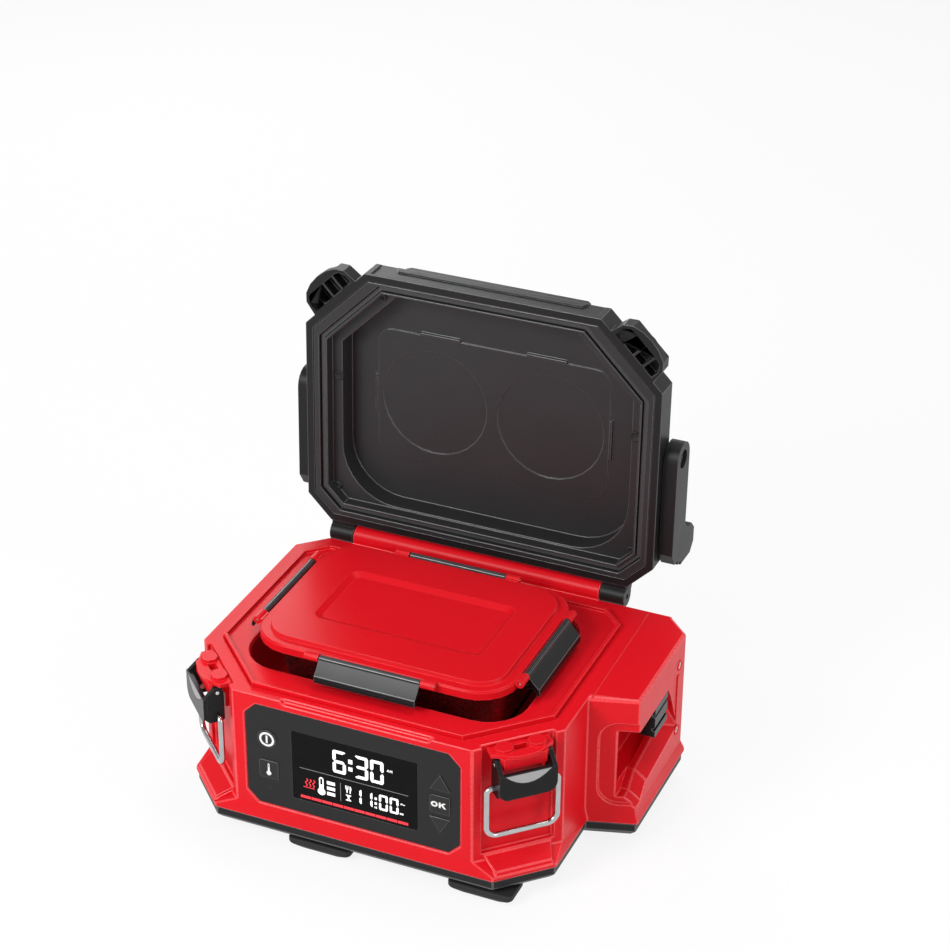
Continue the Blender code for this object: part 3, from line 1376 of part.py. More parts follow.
def make_lid():
    lid = empty("lid_pivot", (0, HINGE_Y, HINGE_Z), root)
    top = LID_BASE + LID_HIGH
    rings = [
        (lid_octagon(0), LID_BASE),
        (lid_octagon(0), LID_BASE + LID_BAND),
        (lid_octagon(LID_SHOULDER_INSET), LID_BASE + LID_BAND + LID_SHOULDER),
        (lid_octagon(LID_TOP_INSET - LID_SHOULDER_INSET / 2), top - LID_WALL),
        (lid_octagon(LID_TOP_INSET), top),
    ]
    shell = loft("lid_shell", rings)
    bar = chamfered_box(-BAR_HALF, BAR_HALF, LID_BASE + BAR_LOW, LID_BASE + BAR_HIGH, BAR_CUT)
    join(shell, prism("front bar", bar, FRONT_REACH - LID_TOP_INSET, FRONT_REACH - BAR_INSET, FRONT_VIEW))
    knuckle_view = Matrix.Translation((0, HINGE_Y, HINGE_Z)) @ SIDE_VIEW
    for side in (-1, 1):
        low, high = sorted((side * (BARREL_HALF + 2 * FIT), side * (BARREL_HALF + KNUCKLE_WIDTH)))
        arm = [
            (LID_REAR - LID_WALL, LID_BASE + FIT),
            (REAR_REACH + FIT, LID_BASE + FIT),
            (HINGE_Y, HINGE_Z - BARREL_RADIUS + FIT),
            (HINGE_Y, HINGE_Z + BARREL_RADIUS - FIT),
            (LID_REAR - LID_WALL, LID_BASE + LID_BAND - LID_WALL),
        ]
        join(
            shell,
            rod(f"knuckle {side}", BARREL_RADIUS, low, high, knuckle_view),
            prism(f"knuckle arm {side}", arm, low + FIT, high - FIT, SIDE_VIEW),
        )
    cut(shell, rod("lid pin bore", HINGE_PIN_RADIUS + FIT, -HALF_WIDTH, HALF_WIDTH, knuckle_view, 12))
    inside = [
        (lid_octagon(LID_RIM), LID_BASE - CUT_MARGIN),
        (lid_octagon(LID_RIM), LID_BASE + LID_BAND),
        (lid_octagon(LID_SHOULDER_INSET + LID_WALL), LID_BASE + LID_BAND + LID_SHOULDER - LID_WALL),
        (lid_octagon(LID_TOP_INSET + LID_WALL), top - LID_ROOF),
    ]
    cut(shell, loft("lid inside", inside))
    panel = lid_octagon(PANEL_TOP_INSET)
    cut(shell, prism("top panel", panel, top - PANEL_TOP_DEEP, top + CUT_MARGIN))
    for side in (-1, 1):
        make_catch(shell, side)
        bolt_view = handle_pivot_view(side)
        pivot_hole = rod(f"pivot hole {side}", PIVOT_RADIUS + FIT, -2 * LID_RIM, HANDLE_REACH, bolt_view)
        cut(shell, pivot_hole)
    pivot = Vector((0, HINGE_Y, HINGE_Z))
    part(shell, "black_plastic", lid, pivot).location = (0, 0, 0)

    liner = prism("lid_liner", lid_octagon(LINER_INSET), LID_BASE + FIT, LID_BASE + LINER_FLANGE)
    deep_box = prism(
        "liner box",
        lid_octagon(LINER_BOX_INSET),
        LID_BASE + LINER_FLANGE - OVERLAP,
        LID_BASE + LINER_CEILING + LINER_ROOF,
    )
    join(liner, deep_box)
    groove_in = LIP_WIDTH + GROOVE_CLEAR
    mouth_plan = lip_octagon(groove_in + GROOVE_WALL)
    mouth = prism("liner mouth", mouth_plan, LID_BASE - CUT_MARGIN, LID_BASE + LINER_SHELF)
    deep = prism("liner deep", deep_outline(), LID_BASE, LID_BASE + LINER_CEILING)
    groove = prism(
        "gasket groove",
        [lip_octagon(-GROOVE_CLEAR), lip_octagon(groove_in)],
        LID_BASE - CUT_MARGIN,
        LID_BASE + GROOVE_HIGH,
    )
    step = prism("liner step", lip_octagon(LIP_WIDTH), LID_BASE - CUT_MARGIN, DECK_TOP + FIT)
    cut(liner, mouth, deep, groove, step)
    ceiling = LID_BASE + LINER_CEILING
    raised_y = (RAISED_REAR - RAISED_FRONT) / 2
    raised = rounded_box(RAISED_HALF_X, (RAISED_REAR + RAISED_FRONT) / 2, RAISED_ROUND, (0, raised_y), 4)
    rings_xy = [circle((side * RING_X, RING_Y), RING_RADIUS, 28) for side in (-1, 1)]
    join(liner, prism("raised panel", [raised, *rings_xy], ceiling - RAISED_THICK, ceiling + OVERLAP))
    clip_y = -RAISED_FRONT - CLIP_THICK
    for index, x in enumerate((-CLIP_X, CLIP_X)):
        outline = box(x - CLIP_LENGTH / 2, x + CLIP_LENGTH / 2, clip_y, clip_y + CLIP_THICK)
        join(liner, prism(f"front clip {index}", outline, ceiling - CLIP_DROP, ceiling + OVERLAP))
    for index, x in enumerate((-RAISED_HALF_X - CLIP_THICK, RAISED_HALF_X)):
        outline = box(x, x + CLIP_THICK, RING_Y - CLIP_LENGTH / 2, RING_Y + CLIP_LENGTH / 2)
        join(liner, prism(f"side clip {index}", outline, ceiling - CLIP_DROP, ceiling + OVERLAP))
    part(liner, "matte_black", lid, pivot).location = (0, 0, 0)

    gasket = prism(
        "lid_gasket",
        [lip_octagon(FIT - GROOVE_CLEAR), lip_octagon(groove_in - FIT)],
        LID_BASE + GROOVE_HIGH - FIT - GASKET_THICK,
        LID_BASE + GROOVE_HIGH - FIT,
    )
    part(gasket, "grey_seal", lid, pivot).location = (0, 0, 0)
    make_handle(lid)
    lid.rotation_euler = (-OPEN, 0, 0)

    pin_view = Matrix.Translation((0, HINGE_Y, HINGE_Z)) @ SIDE_VIEW
    pin_half = BARREL_HALF + KNUCKLE_WIDTH - BARREL_RADIUS / 4
    part(rod("hinge_pin", HINGE_PIN_RADIUS, -pin_half, pin_half, pin_view, 12), "bright_steel", root)


# Food container: tub, cover, seal and four clamps


def tub_ring(half_x, half_y, radius):
    return rounded_box(half_x, half_y, radius, (0, WELL_Y), 5)


def make_tub():
    """One turned wall: up the outside, over the rolled rim and down the inside."""
    low = PLATE_TOP + FIT
    rings = []
    for step in range(4):
        angle = math.radians(90 * step / 3)
        inset = TUB_FOOT * (1 - math.sin(angle))
        foot = tub_ring(TUB_BASE_X - inset, TUB_BASE_Y - inset, TUB_ROUND - inset)
        rings.append((foot, low + TUB_FOOT * (1 - math.cos(angle))))
    spread = TUB_TOP_X - TUB_BASE_X
    rings.append((tub_ring(TUB_TOP_X, TUB_TOP_Y, TUB_ROUND + spread), RIM_Z - 3 * RIM_RADIUS))
    flange = RIM_X - TUB_TOP_X - RIM_RADIUS
    for step in range(6):
        angle = math.radians(-120 + 210 * step / 5)
        out = flange + RIM_RADIUS * math.cos(angle)
        rim = tub_ring(TUB_TOP_X + out, TUB_TOP_Y + out, TUB_ROUND + spread + out)
        rings.append((rim, RIM_Z + RIM_RADIUS * math.sin(angle)))
    mouth = tub_ring(TUB_TOP_X - TUB_WALL, TUB_TOP_Y - TUB_WALL, TUB_ROUND + spread - TUB_WALL)
    rings.append((mouth, RIM_Z + RIM_RADIUS))
    for step in range(3, -1, -1):
        angle = math.radians(90 * step / 3)
        inset = TUB_WALL + (TUB_FOOT - TUB_WALL) * (1 - math.sin(angle))
        rings.append(
            (
                tub_ring(TUB_BASE_X - inset, TUB_BASE_Y - inset, TUB_ROUND - inset),
                low + TUB_WALL + (TUB_FOOT - TUB_WALL) * (1 - math.cos(angle)),
            )
        )
    part(loft("container_tub", rings), "brushed_steel", root)


CLAMP_PLACES = {
    "front": (-90, COVER_Y, CLAMP_FLARE),
    "right": (0, COVER_X, CLAMP_FLARE),
    "rear": (90, COVER_Y, REAR_CLAMP_FLARE),
    "left": (180, COVER_X, CLAMP_FLARE),
}


def clamp_view(label):
    """Frame of one clamp's hinge: X outwards, Y along the hinge, Z up."""
    turn, reach, _ = CLAMP_PLACES[label]
    place = Matrix.Translation((0, WELL_Y, 0)) @ Matrix.Rotation(math.radians(turn), 4, "Z")
    return place @ Matrix.Translation((reach + CLAMP_AXIS_OUT, 0, CLAMP_AXIS_Z))


ALONG = Matrix.Rotation(-math.pi / 2, 4, "X")


def cover_ring(inset):
    """The cover's outline, this far in."""
    return tub_ring(COVER_X - inset, COVER_Y - inset, COVER_ROUND - inset)


def make_cover():
    cover = loft(
        "container_cover",
        [
            (cover_ring(0), COVER_LOW),
            (cover_ring(0), COVER_SHOULDER - COVER_THICK / 2),
            (cover_ring(COVER_THICK / 2), COVER_SHOULDER),
            (cover_ring(COVER_STEP), COVER_SHOULDER),
            (cover_ring(COVER_STEP + COVER_THICK / 2), COVER_TOP),
        ],
    )
    inner = COVER_WALL
    channel_top = RIM_Z + RIM_RADIUS + SEAL_THICK + 2 * FIT
    cut(cover, loft("cover inside", [
        (cover_ring(inner), COVER_LOW - CUT_MARGIN),
        (cover_ring(inner), channel_top),
        (cover_ring(COVER_STEP + inner), channel_top + FIT),
    ]))
    slope = RECESS_SLOPE
    cut(cover, loft("cover recess", [
        (tub_ring(RECESS_X - slope, RECESS_Y - slope, RECESS_ROUND - slope / 2), COVER_TOP - RECESS_DROP),
        (tub_ring(RECESS_X, RECESS_Y, RECESS_ROUND), COVER_TOP),
        (tub_ring(RECESS_X + slope, RECESS_Y + slope, RECESS_ROUND + slope), COVER_TOP + RECESS_DROP),
    ]))
    for label in CLAMP_PLACES:
        view = clamp_view(label) @ ALONG
        for side in (-1, 1):
            start = CLAMP_HALF + KNUCKLE_GAP
            low, high = sorted((side * start, side * (start + COVER_KNUCKLE)))
            join(cover, rod(f"{label} cover knuckle {side}", COVER_KNUCKLE_RADIUS, low, high, view, 12))
            tie_half = COVER_KNUCKLE_RADIUS / 2
            tie = box(-CLAMP_AXIS_OUT - COVER_THICK / 2, 0, -tie_half, tie_half)
            join(cover, prism(f"{label} knuckle tie {side}", tie, low + FIT, high - FIT, view))
        bore = CLAMP_HALF + COVER_KNUCKLE + CUT_MARGIN
        cut(cover, rod(f"{label} knuckle bore", CLAMP_PIN_RADIUS + FIT, -bore, bore, view, 10))
    part(cover, "red_plastic", root)

    seal_out = RIM_X + FIT
    seal_grow = seal_out - TUB_TOP_X
    seal_y = TUB_TOP_Y + seal_grow
    seal_round = TUB_ROUND + TUB_TOP_X - TUB_BASE_X + seal_grow
    seal = prism(
        "container_seal",
        [
            tub_ring(seal_out, seal_y, seal_round),
            tub_ring(seal_out - SEAL_WIDTH, seal_y - SEAL_WIDTH, seal_round - SEAL_WIDTH),
        ],
        RIM_Z + RIM_RADIUS + FIT,
        RIM_Z + RIM_RADIUS + FIT + SEAL_THICK,
    )
    part(seal, "grey_seal", root)


def make_clamp(label):
    """A clamp hanging straight down from its hinge, then swung out by its flare."""
    flare = CLAMP_PLACES[label][2]
    outer = CLAMP_PLATE_OUT
    plate = [
        (CLAMP_PLATE_OUT - CLAMP_PLATE, 0),
        (CLAMP_PLATE_OUT - CLAMP_PLATE, CLAMP_DROP),
        (outer - CLAMP_PLATE / 3, CLAMP_DROP),
        (outer, CLAMP_DROP - CLAMP_PLATE / 2),
        (outer + CLAMP_PLATE / 2, CLAMP_DROP * 0.75),
        (outer, CLAMP_DROP * 0.3),
        (outer, 0),
    ]
    clamp = prism(f"clamp_{label}", plate, -CLAMP_HALF, CLAMP_HALF, ALONG)
    join(clamp, rod(f"{label} clamp barrel", CLAMP_BARREL, -CLAMP_HALF + FIT, CLAMP_HALF - FIT, ALONG, 12))
    hook_top = CLAMP_AXIS_Z - RIM_Z + RIM_RADIUS + FIT
    hook = [
        (CLAMP_PLATE_OUT - CLAMP_PLATE + OVERLAP, hook_top),
        (CLAMP_PLATE_OUT - CLAMP_PLATE + OVERLAP, hook_top + 2 * CLAMP_HOOK_THICK),
        (-CLAMP_HOOK_IN, hook_top + CLAMP_HOOK_THICK),
        (-CLAMP_HOOK_IN, hook_top),
    ]
    for side in (-1, 1):
        middle = side * CLAMP_HOOK_AT
        low, high = middle - CLAMP_HOOK_HALF, middle + CLAMP_HOOK_HALF
        join(clamp, prism(f"{label} hook {side}", hook, low, high, ALONG))
    cut(clamp, rod(f"{label} clamp bore", CLAMP_PIN_RADIUS + FIT, -HALF_WIDTH, HALF_WIDTH, ALONG, 10))
    hinge = empty(f"clamp_{label}_pivot", (0, 0, 0), root)
    hinge.matrix_local = clamp_view(label) @ Matrix.Rotation(-math.radians(flare), 4, "Y")
    part(clamp, "black_plastic", hinge)
    pin_half = CLAMP_HALF + KNUCKLE_GAP + COVER_KNUCKLE
    pin = rod(f"clamp_pin_{label}", CLAMP_PIN_RADIUS, -pin_half, pin_half, clamp_view(label) @ ALONG, 10)
    part(pin, "bright_steel", root)


make_housing()
make_deck_well()
make_heating()
make_base()
make_panel()
for corner in (-1, 1):
    make_latch(corner)
make_terminals()
make_lid()
make_tub()
make_cover()
for clamp_label in CLAMP_PLACES:
    make_clamp(clamp_label)

for obj in PARTS.objects:
    if obj.type == "MESH":
        obj.data.shade_smooth()
        obj.data.set_sharp_from_angle(angle=math.radians(30))
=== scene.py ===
import json
import math

import bmesh
import bpy
from mathutils import Matrix, Vector


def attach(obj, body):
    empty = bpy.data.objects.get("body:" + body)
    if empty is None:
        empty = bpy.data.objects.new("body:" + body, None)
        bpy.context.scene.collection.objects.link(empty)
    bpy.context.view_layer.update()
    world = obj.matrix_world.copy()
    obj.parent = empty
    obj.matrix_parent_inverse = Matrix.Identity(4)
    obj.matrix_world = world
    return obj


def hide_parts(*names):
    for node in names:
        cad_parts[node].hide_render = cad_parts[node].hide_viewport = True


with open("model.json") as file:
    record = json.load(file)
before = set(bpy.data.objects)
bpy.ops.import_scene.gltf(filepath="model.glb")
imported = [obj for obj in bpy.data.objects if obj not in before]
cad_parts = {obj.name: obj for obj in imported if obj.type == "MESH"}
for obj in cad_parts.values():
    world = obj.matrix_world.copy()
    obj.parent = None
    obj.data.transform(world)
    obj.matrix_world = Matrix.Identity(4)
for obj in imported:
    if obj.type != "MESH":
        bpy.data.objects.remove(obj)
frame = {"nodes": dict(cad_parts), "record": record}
NODES = frame["nodes"]
BODY_OF = {node: body for body, nodes in frame["record"]["behaviour"]["bodies"].items() for node in nodes}
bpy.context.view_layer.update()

# The body's middle in the part's frame, from which the sizes below are measured
ORIGIN = Vector((-0.01325, -0.0324, 0.0))
# The plane of the display's marks, and the thickness of every mark
FRONT = -0.1063
INK = 0.00012

# Camera

CAMERA_AT = (0.66772, -1.50042, 1.18601)
CAMERA_AZIMUTH = math.radians(23.285)
CAMERA_ELEVATION = math.radians(29.396)
CAMERA_ROLL = math.radians(0.373)
CAMERA_FOCAL = 2594.25
IMAGE_WIDTH = 950
SENSOR = 36.0


def make_camera():
    azimuth, elevation = CAMERA_AZIMUTH, CAMERA_ELEVATION
    level = math.cos(elevation)
    back = Vector((math.sin(azimuth) * level, -math.cos(azimuth) * level, math.sin(elevation)))
    right = Vector((math.cos(azimuth), math.sin(azimuth), 0))
    up = back.cross(right)
    right, up = (
        right * math.cos(CAMERA_ROLL) + up * math.sin(CAMERA_ROLL),
        up * math.cos(CAMERA_ROLL) - right * math.sin(CAMERA_ROLL),
    )
    camera = bpy.data.cameras.new("camera")
    camera.sensor_width = SENSOR
    camera.lens = CAMERA_FOCAL * SENSOR / IMAGE_WIDTH
    holder = bpy.data.objects.new("camera", camera)
    bpy.context.scene.collection.objects.link(holder)
    turn = Matrix((right, up, back)).transposed().to_4x4()
    holder.matrix_world = Matrix.Translation(CAMERA_AT) @ turn
    bpy.context.scene.camera = holder


# Materials: sizes of the patches of noise in metres, and how far they go

BROAD_PATCH = 0.07
HAZE_PATCH = 0.022
# The pale edges of the plastics, part wear and part painted highlight: the size of their patches and how
# far they reach from an edge
WEAR_AND_HIGHLIGHT_PATCH = 0.0035
WEAR_AND_HIGHLIGHT_REACH = 0.0011
# The painted highlight on rounded edges: the size of its uneven stretches, of its grain, and how deep that
# grain is
HIGHLIGHT_STRETCH = 0.02
EDGE_GRAIN = 0.0012
EDGE_GRAIN_DEPTH = 0.0002
EDGE_FROM = 0.992
EDGE_FULL = 0.80
PLASTIC_IOR = 1.47
LINE_STRETCH = 0.012
LINE_WIDTH = 0.00035
LINE_DEPTH = 0.00006
SMEAR_PATCH = 0.03
SCUFF_PATCH = 0.0016
SCUFF_DEPTH = 0.00005
SCUFF_DULLS = 0.1
TARNISH_PATCH = 0.012
INK_PATCH = 0.006
FINGER_PATCH = 0.011


def new_material(name):
    material = bpy.data.materials.new(name)
    material.use_nodes = True
    return material, material.node_tree, material.node_tree.nodes["Principled BSDF"]


def feed(tree, made, key, value):
    """Link a socket to an input, or set a plain value on it."""
    if isinstance(value, bpy.types.NodeSocket):
        tree.links.new(value, made.inputs[key])
    else:
        made.inputs[key].default_value = value


def add(tree, kind, inputs=None, **settings):
    made = tree.nodes.new(kind)
    for key, value in settings.items():
        setattr(made, key, value)
    for key, value in (inputs or {}).items():
        feed(tree, made, key, value)
    return made


def noise(tree, place, size, detail=3.0, rough=0.55):
    """Noise whose patches are about size metres across."""
    inputs = {"Vector": place, "Scale": 1 / size, "Detail": detail, "Roughness": rough}
    return add(tree, "ShaderNodeTexNoise", inputs).outputs["Fac"]


def remap(tree, value, low, high, to_low, to_high):
    inputs = {"Value": value, "From Min": low, "From Max": high, "To Min": to_low, "To Max": to_high}
    return add(tree, "ShaderNodeMapRange", inputs, clamp=True).outputs["Result"]


def mix(tree, factor, a, b):
    """a and b are colours, or sockets that carry one."""
    made = add(tree, "ShaderNodeMix", {"Factor": factor}, data_type="RGBA")
    feed(tree, made, 6, a)
    feed(tree, made, 7, b)
    return made.outputs[2]


def combine(tree, a, b, how="MULTIPLY"):
    return add(tree, "ShaderNodeMath", {0: a, 1: b}, operation=how).outputs[0]


def shade(colour, factor):
    return (*(min(c * factor, 1.0) for c in colour[:3]), 1.0)


def edge_mask(tree, radius):
    """1 along convex and concave edges, 0 on the flats."""
    rounded = add(tree, "ShaderNodeBevel", {"Radius": radius}, samples=4).outputs["Normal"]
    plain = add(tree, "ShaderNodeNewGeometry").outputs["Normal"]
    dot = add(tree, "ShaderNodeVectorMath", {0: rounded, 1: plain}, operation="DOT_PRODUCT")
    return remap(tree, dot.outputs["Value"], EDGE_FROM, EDGE_FULL, 0.0, 1.0)


def span(tree, value, low, high):
    """The middle of a noise, spread from low to high."""
    return remap(tree, value, 0.3, 0.7, low, high)


def roughen(tree, shader, height, strength, distance):
    bump = add(tree, "ShaderNodeBump", {"Height": height, "Strength": strength, "Distance": distance})
    tree.links.new(bump.outputs["Normal"], shader.inputs["Normal"])


def plastic(name, colour, roughness, grain, grain_size, mottle, wear_and_highlight=None, wear_and_highlight_share=0.0, specular=0.5):
    """Moulded plastic: fine grain, faint broad unevenness, and edges made paler, partly rubbed and partly a
    painted highlight.
    """
    material, tree, shader = new_material(name)
    place = add(tree, "ShaderNodeTexCoord").outputs["Object"]
    broad = noise(tree, place, BROAD_PATCH, 4.0)
    base = mix(tree, span(tree, broad, 0.0, 1.0), shade(colour, 1 - mottle), shade(colour, 1 + mottle))
    # Edges go paler in patches: partly rubbing, partly a painted highlight where light would catch them
    if wear_and_highlight:
        fine = noise(tree, place, WEAR_AND_HIGHLIGHT_PATCH, 3.0, 0.6)
        wear_and_highlight_mask = combine(tree, edge_mask(tree, WEAR_AND_HIGHLIGHT_REACH), remap(tree, fine, 0.35, 0.6, 0.55, 1.0))
        base = mix(tree, combine(tree, wear_and_highlight_mask, wear_and_highlight_share), base, (*wear_and_highlight, 1.0))
    tree.links.new(base, shader.inputs["Base Color"])
    hazy = noise(tree, place, HAZE_PATCH, 3.0, 0.5)
    tree.links.new(span(tree, hazy, roughness * 0.97, roughness * 1.04), shader.inputs["Roughness"])
    grains = noise(tree, place, grain_size, 2.0, 0.5)
    roughen(tree, shader, grains, grain, grain_size * 0.35)
    shader.inputs["IOR"].default_value = PLASTIC_IOR
    shader.inputs["Specular IOR Level"].default_value = specular
    return material


def brushed(name, colour, roughness, along, strength=0.08):
    """Metal with fine lines along one axis, 0, 1 or 2."""
    material, tree, shader = new_material(name)
    place = add(tree, "ShaderNodeTexCoord").outputs["Object"]
    stretch = [1.0, 1.0, 1.0]
    stretch[along] = LINE_STRETCH
    lines_at = add(tree, "ShaderNodeMapping", {"Vector": place, "Scale": stretch}).outputs["Vector"]
    lines = noise(tree, lines_at, LINE_WIDTH, 3.0, 0.6)
    smears = noise(tree, place, SMEAR_PATCH, 4.0, 0.6)
    base = mix(tree, span(tree, smears, 0.0, 1.0), shade(colour, 0.92), shade(colour, 1.05))
    tree.links.new(base, shader.inputs["Base Color"])
    smeared = span(tree, smears, roughness * 0.85, roughness * 1.15)
    total = combine(tree, span(tree, lines, -0.05, 0.05), smeared, "ADD")
    tree.links.new(total, shader.inputs["Roughness"])
    roughen(tree, shader, lines, strength, LINE_DEPTH)
    shader.inputs["Metallic"].default_value = 1.0
    shader.inputs["Anisotropic"].default_value = 0.35
    return material


def polished(name, colour, roughness):
    """Smooth metal with light scuffs."""
    material, tree, shader = new_material(name)
    place = add(tree, "ShaderNodeTexCoord").outputs["Object"]
    scuffs = noise(tree, place, SCUFF_PATCH, 5.0, 0.7)
    broad = noise(tree, place, TARNISH_PATCH, 3.0)
    base = mix(tree, remap(tree, broad, 0.35, 0.7, 0.0, 1.0), shade(colour, 0.9), shade(colour, 1.04))
    tree.links.new(base, shader.inputs["Base Color"])
    dulled = remap(tree, scuffs, 0.45, 0.75, roughness, roughness + SCUFF_DULLS)
    tree.links.new(dulled, shader.inputs["Roughness"])
    roughen(tree, shader, scuffs, 0.05, SCUFF_DEPTH)
    shader.inputs["Metallic"].default_value = 1.0
    return material


def glowing(name, colour, strength):
    """Lit display ink, a little uneven in brightness."""
    material, tree, shader = new_material(name)
    place = add(tree, "ShaderNodeTexCoord").outputs["Object"]
    uneven = noise(tree, place, INK_PATCH, 2.0)
    lit = mix(tree, span(tree, uneven, 0.0, 1.0), shade(colour, 0.93), shade(colour, 1.0))
    tree.links.new(lit, shader.inputs["Emission Color"])
    tree.links.new(mix(tree, 0.5, lit, (0, 0, 0, 1)), shader.inputs["Base Color"])
    shader.inputs["Emission Strength"].default_value = strength
    shader.inputs["Roughness"].default_value = 0.4
    return material


def window_glass(name):
    """Dark window with a deep gloss and the lightest of finger marks."""
    material, tree, shader = new_material(name)
    place = add(tree, "ShaderNodeTexCoord").outputs["Object"]
    marks = noise(tree, place, FINGER_PATCH, 5.0, 0.65)
    clean, touched = (0.0022, 0.0022, 0.0025, 1), (0.0034, 0.0034, 0.0038, 1)
    base = mix(tree, remap(tree, marks, 0.4, 0.7, 0.0, 1.0), clean, touched)
    tree.links.new(base, shader.inputs["Base Color"])
    tree.links.new(remap(tree, marks, 0.4, 0.75, 0.16, 0.26), shader.inputs["Roughness"])
    shader.inputs["IOR"].default_value = 1.49
    shader.inputs["Specular IOR Level"].default_value = 0.09
    return material


def painted_edge_highlight(name, colour, edge, roughness, share):
    """The finish of a rounded edge: the plastic's own colour made paler as a painted highlight, in uneven
    stretches like rubbing.
    """
    material, tree, shader = new_material(name)
    place = add(tree, "ShaderNodeTexCoord").outputs["Object"]
    stretches = noise(tree, place, HIGHLIGHT_STRETCH, 4.0, 0.6)
    fine = noise(tree, place, EDGE_GRAIN, 3.0, 0.6)
    # How much of the painted highlight shows, uneven along the edge
    uneven = remap(tree, stretches, 0.3, 0.65, share * 0.7, share)
    wear_and_highlight = combine(tree, uneven, remap(tree, fine, 0.3, 0.6, 0.85, 1.0))
    tree.links.new(mix(tree, wear_and_highlight, (*colour, 1.0), (*edge, 1.0)), shader.inputs["Base Color"])
    tree.links.new(span(tree, fine, roughness * 0.85, roughness * 1.15), shader.inputs["Roughness"])
    roughen(tree, shader, fine, 0.06, EDGE_GRAIN_DEPTH)
    shader.inputs["IOR"].default_value = PLASTIC_IOR
    shader.inputs["Specular IOR Level"].default_value = 0.5
    return material


# The edge finish that goes with each finish: its own colour under a painted highlight
EDGE_OF = {}

RED = (0.70, 0.0056, 0.0130)
COVER_RED = (0.65, 0.0054, 0.0120)
# PALE_RED, GREY and DULL_GREY are the paler edge colours of the plastics: wear and a painted highlight
PALE_RED = (0.90, 0.085, 0.095)
GREY = (0.16, 0.16, 0.165)
DULL_GREY = (0.05, 0.05, 0.05)


def make_materials():
    made = base_materials()
    # Each edge finish paints a highlight on the rounded edges, paler in uneven stretches
    EDGE_OF[made["red"]] = painted_edge_highlight("red_edge_highlight", RED, (0.84, 0.06, 0.07), 0.28, 0.8)
    EDGE_OF[made["cover_red"]] = painted_edge_highlight("cover_edge_highlight", RED, (0.82, 0.055, 0.065), 0.28, 0.7)
    dark = painted_edge_highlight("black_edge_highlight", (0.012, 0.012, 0.013), (0.10, 0.10, 0.104), 0.26, 0.75)
    for name in ("black", "liner", "bezel", "key"):
        EDGE_OF[made[name]] = dark
    EDGE_OF[made["gloss"]] = painted_edge_highlight("gloss_edge_highlight", (0.008, 0.008, 0.0085), (0.12, 0.12, 0.125), 0.2, 0.7)
    return made


def base_materials():
    # name, colour, roughness, grain, grain size, mottle, edge colour for wear and painted highlight, its
    # share, specular
    plastics = {
        "red": ("red_plastic", RED, 0.34, 0.07, 0.0006, 0.03, PALE_RED, 0.5, 0.16),
        "cover_red": ("cover_red", COVER_RED, 0.30, 0.05, 0.0006, 0.03, PALE_RED, 0.45, 0.16),
        "black": ("black_plastic", (0.0105, 0.0108, 0.0115), 0.42, 0.16, 0.0006, 0.10, GREY, 0.30, 0.23),
        "gloss": ("gloss_black", (0.0055, 0.0056, 0.006), 0.26, 0.05, 0.0006, 0.10, GREY, 0.25, 0.2),
        "liner": ("liner_plastic", (0.024, 0.024, 0.0255), 0.46, 0.12, 0.0006, 0.08, GREY, 0.2, 0.32),
        "bezel": ("bezel_plastic", (0.0125, 0.0127, 0.0135), 0.5, 0.22, 0.0005, 0.06, GREY, 0.2, 0.26),
        "key": ("key_rubber", (0.0165, 0.0167, 0.0175), 0.55, 0.2, 0.0004, 0.06, GREY, 0.35, 0.3),
        "rubber": ("foot_rubber", (0.012, 0.012, 0.012), 0.72, 0.35, 0.0007, 0.12, DULL_GREY, 0.3),
        "seal": ("seal_rubber", (0.05, 0.05, 0.052), 0.62, 0.2, 0.0005, 0.08),
        "amber": ("amber_coating", (0.90, 0.40, 0.022), 0.32, 0.10, 0.0008, 0.06),
        "board": ("board_green", (0.01, 0.12, 0.05), 0.45, 0.1, 0.0008, 0.1),
        "film": ("heater_film", (0.45, 0.2, 0.05), 0.35, 0.1, 0.001, 0.1),
        "felt": ("felt_pad", (0.55, 0.53, 0.48), 0.9, 0.8, 0.0009, 0.1),
        "print": ("white_print", (0.82, 0.82, 0.81), 0.5, 0.08, 0.0004, 0.03),
    }
    return {
        **{name: plastic(*finish) for name, finish in plastics.items()},
        "steel": brushed("brushed_steel", (0.40, 0.395, 0.385), 0.27, 2),
        "silver": brushed("silver_inlay", (0.42, 0.42, 0.42), 0.35, 0, 0.03),
        "wire": polished("polished_wire", (0.50, 0.50, 0.505), 0.2),
        "pin": polished("pin_steel", (0.62, 0.62, 0.61), 0.2),
        "copper": polished("contact_copper", (0.72, 0.42, 0.25), 0.25),
        "window": window_glass("display_glass"),
        "white_ink": glowing("white_ink", (1.0, 1.0, 1.0), 0.95),
        "red_ink": glowing("red_ink", (0.75, 0.02, 0.035), 1.0),
        "dim_ink": glowing("dim_ink", (0.20, 0.20, 0.20), 0.6),
    }


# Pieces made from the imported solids

WELD = 3e-6
LEVEL_FACES = math.radians(0.8)
# Edges sharper than this are rounded, in degrees, and on the faceted pins only those sharper still
SHARP = 19.0
SHARP_ON_PINS = 34.0
EDGE_STEPS = 3
ROOM_SHARE = 0.42
LEAST_SHARE = 0.12
FLAT_WEIGHT = 80


def is_sharp(edge, limit):
    return len(edge.link_faces) == 2 and abs(edge.calc_face_angle_signed(0.0)) > limit


def room_beside(edge):
    """How far an edge can be rounded before it meets the end of a face beside it."""
    beside = [loop.link_loop_next.edge for loop in edge.link_loops]
    beside += [loop.link_loop_prev.edge for loop in edge.link_loops]
    return min(near.calc_length() for near in beside) * ROOM_SHARE


